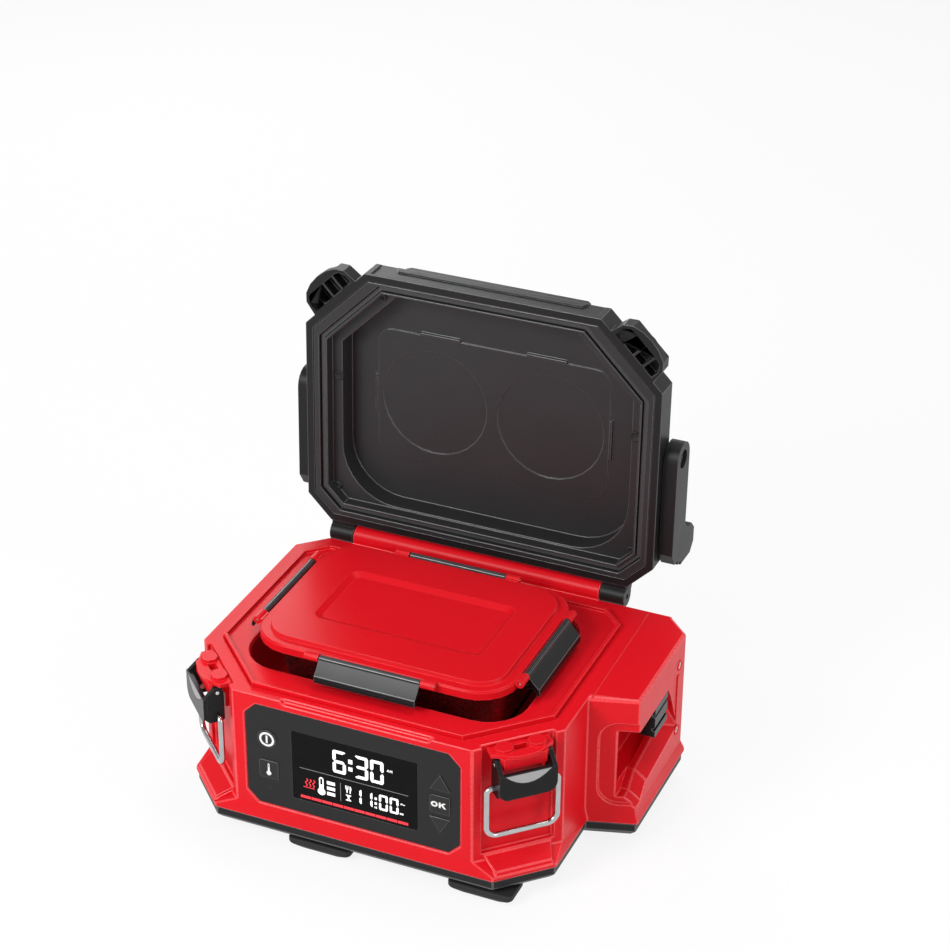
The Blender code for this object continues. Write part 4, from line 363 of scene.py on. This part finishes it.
def soften(node, width, finish, angle=SHARP, wide=None, most=0.0, source=None):
    """A copy of a solid with joined facets and edges rounded by width, or by most where wide says."""
    name = node + "_soft"
    mesh = bpy.data.meshes.new(name)
    work = bmesh.new()
    work.from_mesh(source or NODES[node].data)
    bmesh.ops.remove_doubles(work, verts=work.verts, dist=WELD)
    bmesh.ops.dissolve_limit(
        work, angle_limit=LEVEL_FACES, use_dissolve_boundaries=False, verts=work.verts, edges=work.edges
    )
    weight = work.edges.layers.float.new("bevel_weight_edge")
    sharp = {edge for edge in work.edges if is_sharp(edge, math.radians(angle))}
    for face in work.faces:
        face.smooth = True
    largest = max(width, most)
    for edge in sharp:
        room = min(most if wide and wide(edge) else width, room_beside(edge))
        edge.smooth = False
        edge[weight] = room / largest if width and room > width * LEAST_SHARE else 0.0
    work.to_mesh(mesh)
    work.free()
    piece = bpy.data.objects.new(name, mesh)
    bpy.context.scene.collection.objects.link(piece)
    if width:
        bevel = piece.modifiers.new("edges", "BEVEL")
        bevel.limit_method = "WEIGHT"
        bevel.width = largest
        bevel.segments = EDGE_STEPS
        bevel.use_clamp_overlap = not wide
        bevel.miter_outer = "MITER_ARC"
        even = piece.modifiers.new("flat faces", "WEIGHTED_NORMAL")
        even.mode = "FACE_AREA_WITH_ANGLE"
        even.weight = FLAT_WEIGHT
        even.keep_sharp = True
    mesh.materials.append(finish)
    # The rounded edges take the edge finish, which carries a painted highlight
    if width and finish in EDGE_OF:
        mesh.materials.append(EDGE_OF[finish])
        bevel.material = 1
    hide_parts(node)
    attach(piece, BODY_OF[node])


LID_TURN = Matrix.Rotation(math.radians(-91.5), 4, "X")
HINGE = Vector((0, 0.1205, 0.1345))
LID_RIM = 0.1308


def lid_point(x, y, up):
    """A place on the shut lid, up from its rim, in mm about the body's middle, turned to the open lid."""
    shut = Vector((x / 1000, y / 1000, LID_RIM + up / 1000))
    return ORIGIN + HINGE + LID_TURN @ (shut - HINGE)


def slab(name, corners, depth):
    """A closed prism on corners, pushed along depth."""
    count = len(corners)
    points = list(corners) + [corner + depth for corner in corners]
    faces = [tuple(range(count))[::-1], tuple(range(count, 2 * count))]
    faces += [(i, (i + 1) % count, count + (i + 1) % count, count + i) for i in range(count)]
    mesh = bpy.data.meshes.new(name)
    mesh.from_pydata([tuple(point) for point in points], [], faces)
    work = bmesh.new()
    work.from_mesh(mesh)
    bmesh.ops.recalc_face_normals(work, faces=work.faces)
    work.to_mesh(mesh)
    work.free()
    return mesh


def carve(node, cutters):
    """The node's mesh less the cutters, as a new mesh."""
    body = bpy.data.objects.new("carving", NODES[node].data.copy())
    bpy.context.scene.collection.objects.link(body)
    tools = []
    for mesh in cutters:
        tool = bpy.data.objects.new("cutter", mesh)
        bpy.context.scene.collection.objects.link(tool)
        tools.append(tool)
        cut = body.modifiers.new("cut", "BOOLEAN")
        cut.operation = "DIFFERENCE"
        cut.solver = "EXACT"
        cut.object = tool
    bpy.context.view_layer.update()
    result = bpy.data.meshes.new_from_object(body.evaluated_get(bpy.context.evaluated_depsgraph_get()))
    for spare in (body, *tools):
        bpy.data.objects.remove(spare, do_unlink=True)
    return result


def lid_strip_cutters():
    """The shallow panel in the lid's front face that leaves a long strip with slanted ends."""
    outline = [(-91, 2.6), (91, 2.6), (91, 26), (79, 26), (74.5, 15.2), (-74.5, 15.2), (-79, 26), (-91, 26)]
    floor, outside = -106.2, -112.5
    inner = [lid_point(x, floor, up) for x, up in outline]
    push = lid_point(0, outside, 0) - lid_point(0, floor, 0)
    return [slab("strip cutter", inner, push)]


CORNER_X = 0.120
CORNER_Y = -0.0825
WIRE_RADIUS = 0.0022


def corner_frame(side):
    """The latch's own frame at one front corner: X along the chamfer, Y inwards, Z up."""
    middle = Vector((side * CORNER_X, CORNER_Y, 0.0)) + ORIGIN
    return Matrix.Translation(middle) @ Matrix.Rotation(side * math.pi / 4, 4, "Z")


def bend_path(points, radius, steps=14):
    """A path with each inner corner turned into an arc of the given radius."""
    path = [Vector(points[0])]
    for before, here, after in zip(points, points[1:], points[2:]):
        before, here, after = Vector(before), Vector(here), Vector(after)
        inward, outward = (before - here).normalized(), (after - here).normalized()
        half = inward.angle(outward) / 2
        shorter = min((before - here).length, (after - here).length)
        reach = min(radius / math.tan(half), shorter * 0.49)
        centre = here + (inward + outward).normalized() * (reach / math.cos(half))
        start, end = here + inward * reach - centre, here + outward * reach - centre
        sweep = math.pi - 2 * half
        for step in range(steps + 1):
            along = step / steps * sweep
            spoke = start * math.sin(sweep - along) + end * math.sin(along)
            path.append(centre + spoke / math.sin(sweep))
    path.append(Vector(points[-1]))
    return path


def wire_piece(name, path, radius, finish, place):
    curve = bpy.data.curves.new(name, "CURVE")
    curve.dimensions = "3D"
    curve.bevel_depth = radius
    curve.bevel_resolution = 6
    curve.use_fill_caps = True
    spline = curve.splines.new("POLY")
    spline.points.add(len(path) - 1)
    for point, spot in zip(spline.points, path):
        point.co = (*spot, 1)
    curve.materials.append(finish)
    piece = bpy.data.objects.new(name, curve)
    bpy.context.scene.collection.objects.link(piece)
    piece.matrix_world = place
    return piece


def make_bails(finishes):
    """Round bent wire in place of the faceted bails."""
    y, pivot, low, half, end = -0.007, 0.100, 0.0585, 0.0273, 0.0191
    tight, round_corner = 0.0045, 0.0085
    for side, label in ((-1, "left"), (1, "right")):
        node = f"latch_bail_{label}"
        hanging = [(-half, y, pivot), (-half, y, low), (half, y, low), (half, y, pivot)]
        path = [(-end, y, pivot), *hanging, (end, y, pivot)]
        bent = bend_path(path[:3], tight)[:-1] + bend_path(hanging, round_corner)[1:-1]
        bent += bend_path(path[3:], tight)[1:]
        piece = wire_piece(node + "_wire", bent, WIRE_RADIUS, finishes["wire"], corner_frame(side))
        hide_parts(node)
        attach(piece, BODY_OF[node])


POD_RIM_WIDTH = 0.0024
# The pod's rim lies to the right of, above and before these, measured from the body's middle
POD_RIM_X = 0.1475
POD_RIM_Z = 0.1298
POD_RIM_Y = 0.112
LEVEL_WITHIN = 0.0002


def pod_rim(edge):
    """The outer edges of the battery pod's roof, which are chamfered."""
    middle = (edge.verts[0].co + edge.verts[1].co) / 2 - ORIGIN
    level = abs(edge.verts[0].co.z - edge.verts[1].co.z) < LEVEL_WITHIN
    return level and middle.z > POD_RIM_Z and middle.x > POD_RIM_X and middle.y < POD_RIM_Y


# The finish and the edge rounding of each solid, in metres
DRESS = {
    "housing": ("red", 0.0010),
    "deck_well": ("red", 0.0007),
    "heating_plate": ("amber", 0.0006),
    "film_heater": ("film", 0),
    "insulation_pad": ("felt", 0.0008),
    "temperature_sensor": ("pin", 0.0003),
    "base_tray": ("black", 0.0010),
    "display_bezel": ("bezel", 0.0005),
    "display_window": ("window", 0.0002),
    "display_module": ("bezel", 0.0004),
    "control_board": ("board", 0),
    "terminal_block": ("gloss", 0.0004),
    "hinge_pin": ("pin", 0.0003),
    "lid_shell": ("black", 0.0011),
    "lid_liner": ("liner", 0.0006),
    "lid_gasket": ("seal", 0.0005),
    "carry_handle": ("black", 0.0012),
    "container_tub": ("steel", 0.0004),
    "container_cover": ("cover_red", 0.0006),
    "container_seal": ("seal", 0.0004),
}
# The same for solids whose names start alike
DRESS_BY_START = {
    "foot_": ("rubber", 0.0012),
    "latch_bracket": ("red", 0.0006),
    "latch_pin": ("pin", 0.0002),
    "latch_lever": ("gloss", 0.0007),
    "latch_inlay": ("silver", 0.0002),
    "contact_blade": ("copper", 0.0001),
    "handle_pivot": ("pin", 0.0003),
    "clamp_pin": ("pin", 0.0002),
    "clamp_": ("gloss", 0.0005),
}
DRESS_BUTTON = ("key", 0.0004)


def dress_of(node):
    """The finish and the edge rounding of one solid."""
    if node.endswith("_button"):
        return DRESS_BUTTON
    if node in DRESS:
        return DRESS[node]
    return next(value for start, value in DRESS_BY_START.items() if node.startswith(start))


def dress(finishes):
    """Every solid but the bails, with its finish and edge rounding."""
    for node in sorted(NODES):
        if node.startswith("latch_bail"):
            continue
        name, width = dress_of(node)
        finish = finishes[name]
        if node == "housing":
            soften(node, width, finish, wide=pod_rim, most=POD_RIM_WIDTH)
        elif node == "lid_shell":
            soften(node, width, finish, source=carve(node, lid_strip_cutters()))
        else:
            soften(node, width, finish, SHARP_ON_PINS if name == "pin" else SHARP)


# Flat marks on the display and the keys, as thin raised shapes on a plane that faces the front


def plate(name, outlines, finish, body, front=FRONT, thick=INK, holes=()):
    """outlines are lists of (x, z) in mm on the front plane. It is a solid of the ink's thickness."""
    curve = bpy.data.curves.new(name, "CURVE")
    curve.dimensions = "2D"
    curve.fill_mode = "BOTH"
    curve.extrude = thick / 2
    for outline in (*outlines, *holes):
        spline = curve.splines.new("POLY")
        spline.points.add(len(outline) - 1)
        for point, (x, z) in zip(spline.points, outline):
            point.co = (x / 1000, z / 1000, 0, 1)
        spline.use_cyclic_u = True
    curve.materials.append(finish)
    piece = bpy.data.objects.new(name, curve)
    bpy.context.scene.collection.objects.link(piece)
    middle = ORIGIN + Vector((0, front - thick / 2, 0))
    piece.matrix_world = Matrix.Translation(middle) @ Matrix.Rotation(math.pi / 2, 4, "X")
    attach(piece, body)


def arc(x, z, radius, degrees):
    """Points about x, z at each of the angles."""
    turns = [math.radians(angle) for angle in degrees]
    return [(x + radius * math.cos(turn), z + radius * math.sin(turn)) for turn in turns]


def oval(x, z, wide, high, sides):
    turns = [2 * math.pi * side / sides for side in range(sides)]
    return [(x + wide * math.cos(turn), z + high * math.sin(turn)) for turn in turns]


def ring(x, z, radius, sides=40):
    return oval(x, z, radius, radius, sides)


def bar(x0, z0, x1, z1):
    return [(x0, z0), (x1, z0), (x1, z1), (x0, z1)]


def stroke(points, width):
    """A band of even width along a path of (x, z)."""
    left, right = [], []
    for i, (x, z) in enumerate(points):
        before = points[max(i - 1, 0)]
        after = points[min(i + 1, len(points) - 1)]
        dx, dz = after[0] - before[0], after[1] - before[1]
        size = math.hypot(dx, dz) or 1.0
        nx, nz = -dz / size * width / 2, dx / size * width / 2
        left.append((x + nx, z + nz))
        right.append((x - nx, z - nz))
    return left + right[::-1]


SEGMENTS = {
    "0": "abcdef", "1": "bc", "2": "abged", "3": "abgcd", "4": "fgbc",
    "5": "afgcd", "6": "afgedc", "7": "abc", "8": "abcdefg", "9": "abcdfg",
}


def digit(value, x, z, wide, high, thick):
    """Outlines of one seven-segment digit, its low left corner at x, z."""
    gap = thick * 0.10
    half = thick / 2
    nip = thick * 0.35
    cut = thick * 0.55
    mid = z + high / 2
    left, right = x + gap, x + wide - gap

    def outer_bar(outer, inner):
        """The top or bottom bar, narrower on its inner side."""
        corner = outer - nip if outer > inner else outer + nip
        edge = [(left, corner), (left + nip, outer), (right - nip, outer), (right, corner)]
        return [*edge, (right - thick, inner), (left + thick, inner)]

    def middle_bar(level):
        start, end = left + half * 0.6, right - half * 0.6
        above = [(start, level), (start + cut, level + half), (end - cut, level + half)]
        return [*above, (end, level), (end - cut, level - half), (start + cut, level - half)]

    def upright(side, low, top):
        inner = thick if side < 0 else -thick
        edge = x if side < 0 else x + wide
        outside = [(edge, low + half), (edge, top - half), (edge + inner * 0.35, top - thick * 0.2)]
        inside = [(edge + inner, top - thick * 1.05), (edge + inner, low + thick * 0.75)]
        return [*outside, *inside, (edge + inner * 0.5, low + thick * 0.12)]

    def upright_low(side, low, top):
        return [(px, low + top - pz) for px, pz in upright(side, low, top)]

    shapes = {
        "a": outer_bar(z + high, z + high - thick),
        "g": middle_bar(mid),
        "d": outer_bar(z, z + thick),
        "f": upright(-1, mid + gap, z + high - gap),
        "b": upright(1, mid + gap, z + high - gap),
        "e": upright_low(-1, z + gap, mid - gap),
        "c": upright_low(1, z + gap, mid - gap),
    }
    return [shapes[letter] for letter in SEGMENTS[value]]


def moved(outline, x, z):
    return [(x + px, z + pz) for px, pz in outline]


def small_am(x, z):
    """The two small capitals of the half of the day."""
    a = [(0, 0), (0.45, 0), (0.7, 0.6), (1.3, 0.6), (1.55, 0), (2.0, 0), (1.2, 2.0), (0.8, 2.0)]
    m = [(2.4, 0), (2.85, 0), (2.85, 1.25), (3.4, 0.5), (3.95, 1.25), (3.95, 0), (4.4, 0)]
    m += [(4.4, 2.0), (3.95, 2.0), (3.4, 1.2), (2.85, 2.0), (2.4, 2.0)]
    return [moved(a, x, z), moved(m, x, z)]


# Small pieces that no solid carries: screws, rib and roof line of the pod, bosses and plugs of the liner


def lathe(name, profile, finish, body, place, sides=32):
    """A round piece from (radius, height) pairs, turned about the Z of place."""
    mesh = bpy.data.meshes.new(name)
    points, faces = [], []
    for radius, height in profile:
        for side in range(sides):
            angle = 2 * math.pi * side / sides
            points.append((radius * math.cos(angle), radius * math.sin(angle), height))
    for start in range(0, (len(profile) - 1) * sides, sides):
        for side in range(sides):
            here, after = start + side, start + (side + 1) % sides
            faces.append((here, after, after + sides, here + sides))
    faces.append(tuple(range(sides))[::-1])
    faces.append(tuple(range((len(profile) - 1) * sides, len(profile) * sides)))
    mesh.from_pydata(points, [], faces)
    for face in mesh.polygons:
        face.use_smooth = len(face.vertices) == 4
    mesh.materials.append(finish)
    piece = bpy.data.objects.new(name, mesh)
    bpy.context.scene.collection.objects.link(piece)
    piece.matrix_world = place
    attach(piece, body)


def block(name, mesh, finish, body, width):
    """A piece from a closed mesh in the part's frame, with softened edges."""
    mesh.materials.append(finish)
    piece = bpy.data.objects.new(name, mesh)
    bpy.context.scene.collection.objects.link(piece)
    bevel = piece.modifiers.new("edges", "BEVEL")
    bevel.width = width
    bevel.segments = 2
    bevel.limit_method = "ANGLE"
    # The rounded edges take the edge finish, which carries a painted highlight
    if finish in EDGE_OF:
        mesh.materials.append(EDGE_OF[finish])
        bevel.material = 1
    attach(piece, body)


def at(x, y, z):
    """A place given in mm about the body's middle, as metres in the part's frame."""
    return ORIGIN + Vector((x, y, z)) / 1000


# The battery pod's side and roof, in mm about the body's middle
POD_SIDE = 181.0
POD_ROOF = 130.5
SCREW_Y = 84.0
SCREW_HEIGHTS = (109.0, 50.7)

# Profiles of turned pieces, as (radius, height) in metres
SCREW_COLLAR = [
    (0.0045, -0.0004), (0.0045, 0.0003), (0.0041, 0.0006),
    (0.0036, 0.0005), (0.0032, -0.0002), (0.0030, -0.0003),
]
SCREW_HEAD = [(0.0029, -0.0003), (0.0029, 0.0), (0.0022, 0.0002), (0.0012, 0.0002), (0.0010, -0.0001)]
LINER_BOSS = [(0.0034, -0.0008), (0.0034, 0.0012), (0.0030, 0.0016), (0.0016, 0.0016), (0.0013, 0.0006)]
LINER_PLUG = [
    (0.0042, -0.0008), (0.0042, 0.0006), (0.0037, 0.0010),
    (0.0030, 0.0010), (0.0026, 0.0004), (0.0010, 0.0004),
]


def make_pod_details(finishes):
    """Two screws and the rib between them at the rear of the pod's side, and the line on its roof."""
    outward = Matrix.Rotation(math.pi / 2, 4, "Y")
    for index, z in enumerate(SCREW_HEIGHTS):
        place = Matrix.Translation(at(POD_SIDE, SCREW_Y, z)) @ outward
        lathe(f"pod_screw_collar_{index}", SCREW_COLLAR, finishes["red"], "body", place)
        lathe(f"pod_screw_{index}", SCREW_HEAD, finishes["pin"], "body", place, 20)
    rib_foot = [at(POD_SIDE, y, z) for y, z in bar(79.5, 62.0, 83.5, 101.5)]
    rib = slab("pod_rib", rib_foot, Vector((0.0009, 0, 0)))
    block("pod_rib", rib, finishes["red"], "body", 0.0004)
    along_roof = ((145.4, 109.6), (146.4, 109.6), (147.9, -12.6), (146.9, -12.6))
    line = slab("pod_roof_line", [at(x, y, POD_ROOF) for x, y in along_roof], Vector((0, 0, 0.0004)))
    block("pod_roof_line", line, finishes["red"], "body", 0.0002)


LINER_SHELF = 10.6
BOSS_PLACES = ((-84.5, -86.5), (84.5, -86.5), (-123.6, 83.4), (123.6, 83.4))
PLUG_PLACES = ((-122.0, -13.0), (122.0, -13.0))


def make_liner_details(finishes):
    """Moulded bosses and plugs on the liner's shelf."""
    body = BODY_OF["lid_liner"]
    turn = LID_TURN @ Matrix.Rotation(math.pi, 4, "X")
    for name, profile, places, finish in (
        ("liner_boss", LINER_BOSS, BOSS_PLACES, finishes["liner"]),
        ("liner_plug", LINER_PLUG, PLUG_PLACES, finishes["rubber"]),
    ):
        for index, (x, y) in enumerate(places):
            place = Matrix.Translation(lid_point(x, y, LINER_SHELF)) @ turn
            lathe(f"{name}_{index}", profile, finish, body, place, 24)


# What the display and the keys show, in mm on the front plane

HOURGLASS_X = -3.0


def make_clock(white, dim):
    """The large time, with the thin lines that part the display."""
    digits = []
    for value, x in (("6", -15.2), ("3", 2.5), ("0", 14.8)):
        digits += digit(value, x, 79.7, 10.6, 19.8, 2.55)
    colon = [bar(-2.6, 90.6, 0.6, 94.2), bar(-2.6, 84.2, 0.6, 87.6)]
    plate("clock_digits", digits + colon, white, "body")
    plate("clock_half_of_day", small_am(27.9, 92.3), white, "body")
    plate("display_rule", [bar(-42.0, 75.6, 44.7, 76.1)], dim, "body")
    plate("display_divider", [bar(-9.6, 55.6, -9.1, 71.6)], dim, "body")


def heat_wave(x):
    steps = range(17)
    path = [(x + 0.75 * math.sin(i / 16 * math.pi * 3.2) + i * 0.055, 60.8 + i * 0.42) for i in steps]
    return stroke(path, 0.85)


def make_heat_marks(white, red):
    """Three waves over a line, a thermometer and its level bars."""
    waves = [heat_wave(x) for x in (-37.3, -34.4, -31.5)]
    plate("heat_mark", [*waves, bar(-39.6, 59.3, -30.4, 60.0)], red, "body")
    middle, half, neck, top = -24.8, 1.8, 62.2, 70.2
    crown = arc(middle, top, half, range(165, 0, -15))
    left, right = middle - half, middle + half
    stem = [(left, neck), (left, top), *crown, (right, top), (right, neck)]
    bulb = arc(middle, 59.3, 3.1, range(55, -236, -10))
    inside = [(-0.9, 65.6), (-0.9, 70.0), (-0.5, 70.9), (0, 71.1), (0.5, 70.9), (0.9, 70.0), (0.9, 65.6)]
    plate("thermometer_mark", [stem + bulb], white, "body", holes=[moved(inside, middle, 0)])
    levels = [bar(-20.3, low, -13.8, low + 2.8) for low in (67.3, 62.5, 57.7)]
    plate("level_bars", levels, white, "body")


def make_meal_marks(white):
    """A fork and a knife above an hourglass."""
    handle = [(-5.4, 70.6), (-5.4, 68.0), (-4.6, 66.9), (-4.5, 64.2), (-3.7, 64.2), (-3.6, 66.9)]
    prongs = [(-2.9, 68.0), (-2.9, 70.6), (-3.4, 70.6), (-3.4, 68.4), (-3.9, 68.4), (-3.9, 70.6)]
    fork = [*handle, *prongs, (-4.4, 70.6), (-4.4, 68.4), (-4.9, 68.4), (-4.9, 70.6)]
    knife = [(-2.0, 64.2), (-2.0, 70.6), (-1.1, 70.0), (-0.6, 68.6)]
    knife += [(-0.7, 66.9), (-1.2, 66.6), (-1.2, 64.2)]
    plate("meal_mark", [fork, knife], white, "body")
    right = [(2.1, 62.6), (2.1, 62.0), (1.5, 61.8), (0.4, 60.0), (1.5, 58.2), (2.1, 58.0), (2.1, 57.4)]
    glass = right + [(-x, z) for x, z in right[::-1]]
    sand = moved([(0, 59.3), (0.8, 58.2), (-0.8, 58.2)], HOURGLASS_X, 0)
    plate("hourglass_mark", [moved(glass, HOURGLASS_X, 0)], white, "body", holes=[sand])


def make_timer(white, red):
    """The small time, its small marks, and the bar under the display."""
    digits = []
    for value, x in (("1", 0.5), ("1", 9.2), ("0", 21.4), ("0", 29.9)):
        digits += digit(value, x, 57.0, 7.0, 13.6, 1.75)
    colon = [bar(17.9, 64.9, 19.7, 66.9), bar(17.9, 60.6, 19.7, 62.6)]
    plate("timer_digits", digits + colon, white, "body")
    upper = [bar(38.6, 66.4, 39.4, 67.6), bar(39.7, 66.4, 40.2, 67.6), bar(40.6, 66.4, 42.0, 67.0)]
    lower = [bar(37.9, 57.6, 38.6, 59.0), bar(39.0, 57.6, 40.7, 59.0)]
    lower += [bar(17.8, 57.2, 18.3, 58.8), bar(18.7, 57.2, 19.7, 58.8)]
    plate("timer_marks", upper + lower, white, "body")
    start, step, gap = -41.9, 8.69, 0.55
    parts = [bar(start + i * step, 49.5, start + (i + 1) * step - gap, 51.8) for i in range(10)]
    plate("progress_bar", parts, red, "body")


def make_display(finishes):
    white, red = finishes["white_ink"], finishes["red_ink"]
    make_clock(white, finishes["dim_ink"])
    make_heat_marks(white, red)
    make_meal_marks(white)
    make_timer(white, red)


KEY_FRONT = -0.1071
POWER_AT = (-68.0, 93.6)
LAMP_AT = (-66.8, 50.8)
THERMOMETER_X = -67.2
LETTERS_Z = 75.9
LETTER_O_X = 65.4


def make_key_marks(finishes):
    ink = finishes["print"]
    power, power_hole = ring(*POWER_AT, 6.1), ring(*POWER_AT, 4.35)
    plate("power_mark", [power], ink, "power_key", KEY_FRONT, holes=[power_hole])
    plate("power_mark_bar", [bar(-68.75, 90.3, -67.25, 96.9)], ink, "power_key", KEY_FRONT)
    stem = [(-0.75, 65.6), (-0.75, 71.6), (-0.55, 72.2), (0, 72.45)]
    stem += [(0.55, 72.2), (0.75, 71.6), (0.75, 65.6)]
    bulb = arc(0, 63.9, 1.95, range(62, -243, -15))
    thermometer = moved(stem + bulb, THERMOMETER_X, 0)
    inside = moved([(-0.25, 69.0), (-0.25, 71.4), (0.25, 71.4), (0.25, 69.0)], THERMOMETER_X, 0)
    plate("temperature_mark", [thermometer], ink, "temperature_key", KEY_FRONT, holes=[inside])
    lamp, lamp_hole = ring(*LAMP_AT, 1.7, 24), ring(*LAMP_AT, 1.15, 24)
    plate("lamp_mark", [lamp], finishes["rubber"], "body", holes=[lamp_hole])
    plate("lamp", [ring(*LAMP_AT, 0.55, 16)], finishes["rubber"], "body")
    letter_o = oval(LETTER_O_X, LETTERS_Z, 2.7, 2.35, 28)
    hole_o = oval(LETTER_O_X, LETTERS_Z, 1.25, 1.15, 20)
    letter_k = [(68.9, 73.55), (70.4, 73.55), (70.4, 75.0), (71.1, 75.6), (72.7, 73.55), (74.6, 73.55)]
    letter_k += [(72.2, 76.5), (74.4, 78.25), (72.4, 78.25), (70.4, 76.6), (70.4, 78.25), (68.9, 78.25)]
    plate("ok_mark", [letter_o, letter_k], ink, "ok_key", KEY_FRONT, holes=[hole_o])


# Floor, backdrop and lights

CLOUD_PATCH = 0.8
FLOOR_HALF = 6.0
FLOOR_DROP = 0.0002
# How much of the floor's look is that white rather than the light on it
FLOOR_GLOW = 0.86
WORLD_STRENGTH = 0.36
WORLD_PATCH = 0.9
OVERHEAD_DARK = (0.30, 0.30, 0.31, 1)
OVERHEAD_PALE = (0.85, 0.85, 0.85, 1)


def seen_rays(tree):
    """1 for rays from the camera, from gloss and through glass."""
    path = add(tree, "ShaderNodeLightPath").outputs
    gloss = combine(tree, path["Is Glossy Ray"], path["Is Transmission Ray"], "MAXIMUM")
    return combine(tree, path["Is Camera Ray"], gloss, "MAXIMUM")


def pale_surface(name, colour, show):
    """A matt surface that is seen mostly as an even white, so that it stays pale."""
    material, tree, shader = new_material(name)
    place = add(tree, "ShaderNodeTexCoord").outputs["Object"]
    cloud = noise(tree, place, CLOUD_PATCH, 3.0)
    base = mix(tree, span(tree, cloud, 0.0, 1.0), shade(colour, 0.99), shade(colour, 1.0))
    tree.links.new(base, shader.inputs["Base Color"])
    shader.inputs["Roughness"].default_value = 0.9
    shader.inputs["Specular IOR Level"].default_value = 0.1
    glow = add(tree, "ShaderNodeEmission", {"Color": (1, 1, 1, 1), "Strength": 1.0}).outputs[0]
    blend = add(tree, "ShaderNodeMixShader", {"Fac": combine(tree, seen_rays(tree), show)})
    tree.links.new(shader.outputs[0], blend.inputs[1])
    tree.links.new(glow, blend.inputs[2])
    tree.links.new(blend.outputs[0], tree.nodes["Material Output"].inputs["Surface"])
    return material


def make_stage():
    mesh = bpy.data.meshes.new("floor")
    corners = bar(-FLOOR_HALF, -FLOOR_HALF, FLOOR_HALF, FLOOR_HALF)
    mesh.from_pydata([(x, y, 0) for x, y in corners], [], [(0, 1, 2, 3)])
    mesh.materials.append(pale_surface("pale_floor", (0.88, 0.88, 0.88), FLOOR_GLOW))
    floor = bpy.data.objects.new("floor", mesh)
    bpy.context.scene.collection.objects.link(floor)
    floor.location.z = -FLOOR_DROP


def area_light(name, place, aim, size, power):
    light = bpy.data.lights.new(name, "AREA")
    light.shape = "RECTANGLE"
    light.size, light.size_y = size
    light.energy = power
    holder = bpy.data.objects.new(name, light)
    bpy.context.scene.collection.objects.link(holder)
    holder.location = place
    holder.rotation_euler = (Vector(aim) - Vector(place)).to_track_quat("-Z", "Y").to_euler()


def make_lights():
    """A pale studio, darker overhead so that gloss and metal have something to show."""
    world = bpy.data.worlds.new("studio")
    bpy.context.scene.world = world
    world.use_nodes = True
    tree = world.node_tree
    toward = add(tree, "ShaderNodeTexCoord").outputs["Generated"]
    height = add(tree, "ShaderNodeSeparateXYZ", {"Vector": toward}).outputs["Z"]
    patches = noise(tree, toward, WORLD_PATCH, 1.0, 0.3)
    overhead = mix(tree, remap(tree, patches, 0.42, 0.58, 0.0, 1.0), OVERHEAD_DARK, OVERHEAD_PALE)
    pale = mix(tree, remap(tree, height, 0.12, 0.5, 0.0, 1.0), (1, 1, 1, 1), overhead)
    dim = tree.nodes["Background"]
    dim.inputs["Color"].default_value = (1, 1, 1, 1)
    dim.inputs["Strength"].default_value = WORLD_STRENGTH
    seen = add(tree, "ShaderNodeBackground", {"Color": pale, "Strength": 1.0})
    blend = add(tree, "ShaderNodeMixShader", {"Fac": seen_rays(tree)})
    tree.links.new(dim.outputs[0], blend.inputs[1])
    tree.links.new(seen.outputs[0], blend.inputs[2])
    tree.links.new(blend.outputs[0], tree.nodes["World Output"].inputs["Surface"])
    middle = (0, 0, 0.12)
    area_light("key_light", (-0.65, -1.45, 1.25), middle, (0.8, 0.8), 27)
    area_light("top_light", (0.3, 0.35, 1.9), middle, (0.9, 0.5), 9)
    area_light("side_light", (1.7, -0.2, 0.9), middle, (0.5, 0.9), 9)
    area_light("rear_light", (-1.1, 1.4, 1.0), middle, (1.0, 0.6), 9)


make_camera()
FINISHES = make_materials()
dress(FINISHES)
make_bails(FINISHES)
make_pod_details(FINISHES)
make_liner_details(FINISHES)
make_display(FINISHES)
make_key_marks(FINISHES)
make_stage()
make_lights()

bpy.context.scene.view_settings.view_transform = "Standard"
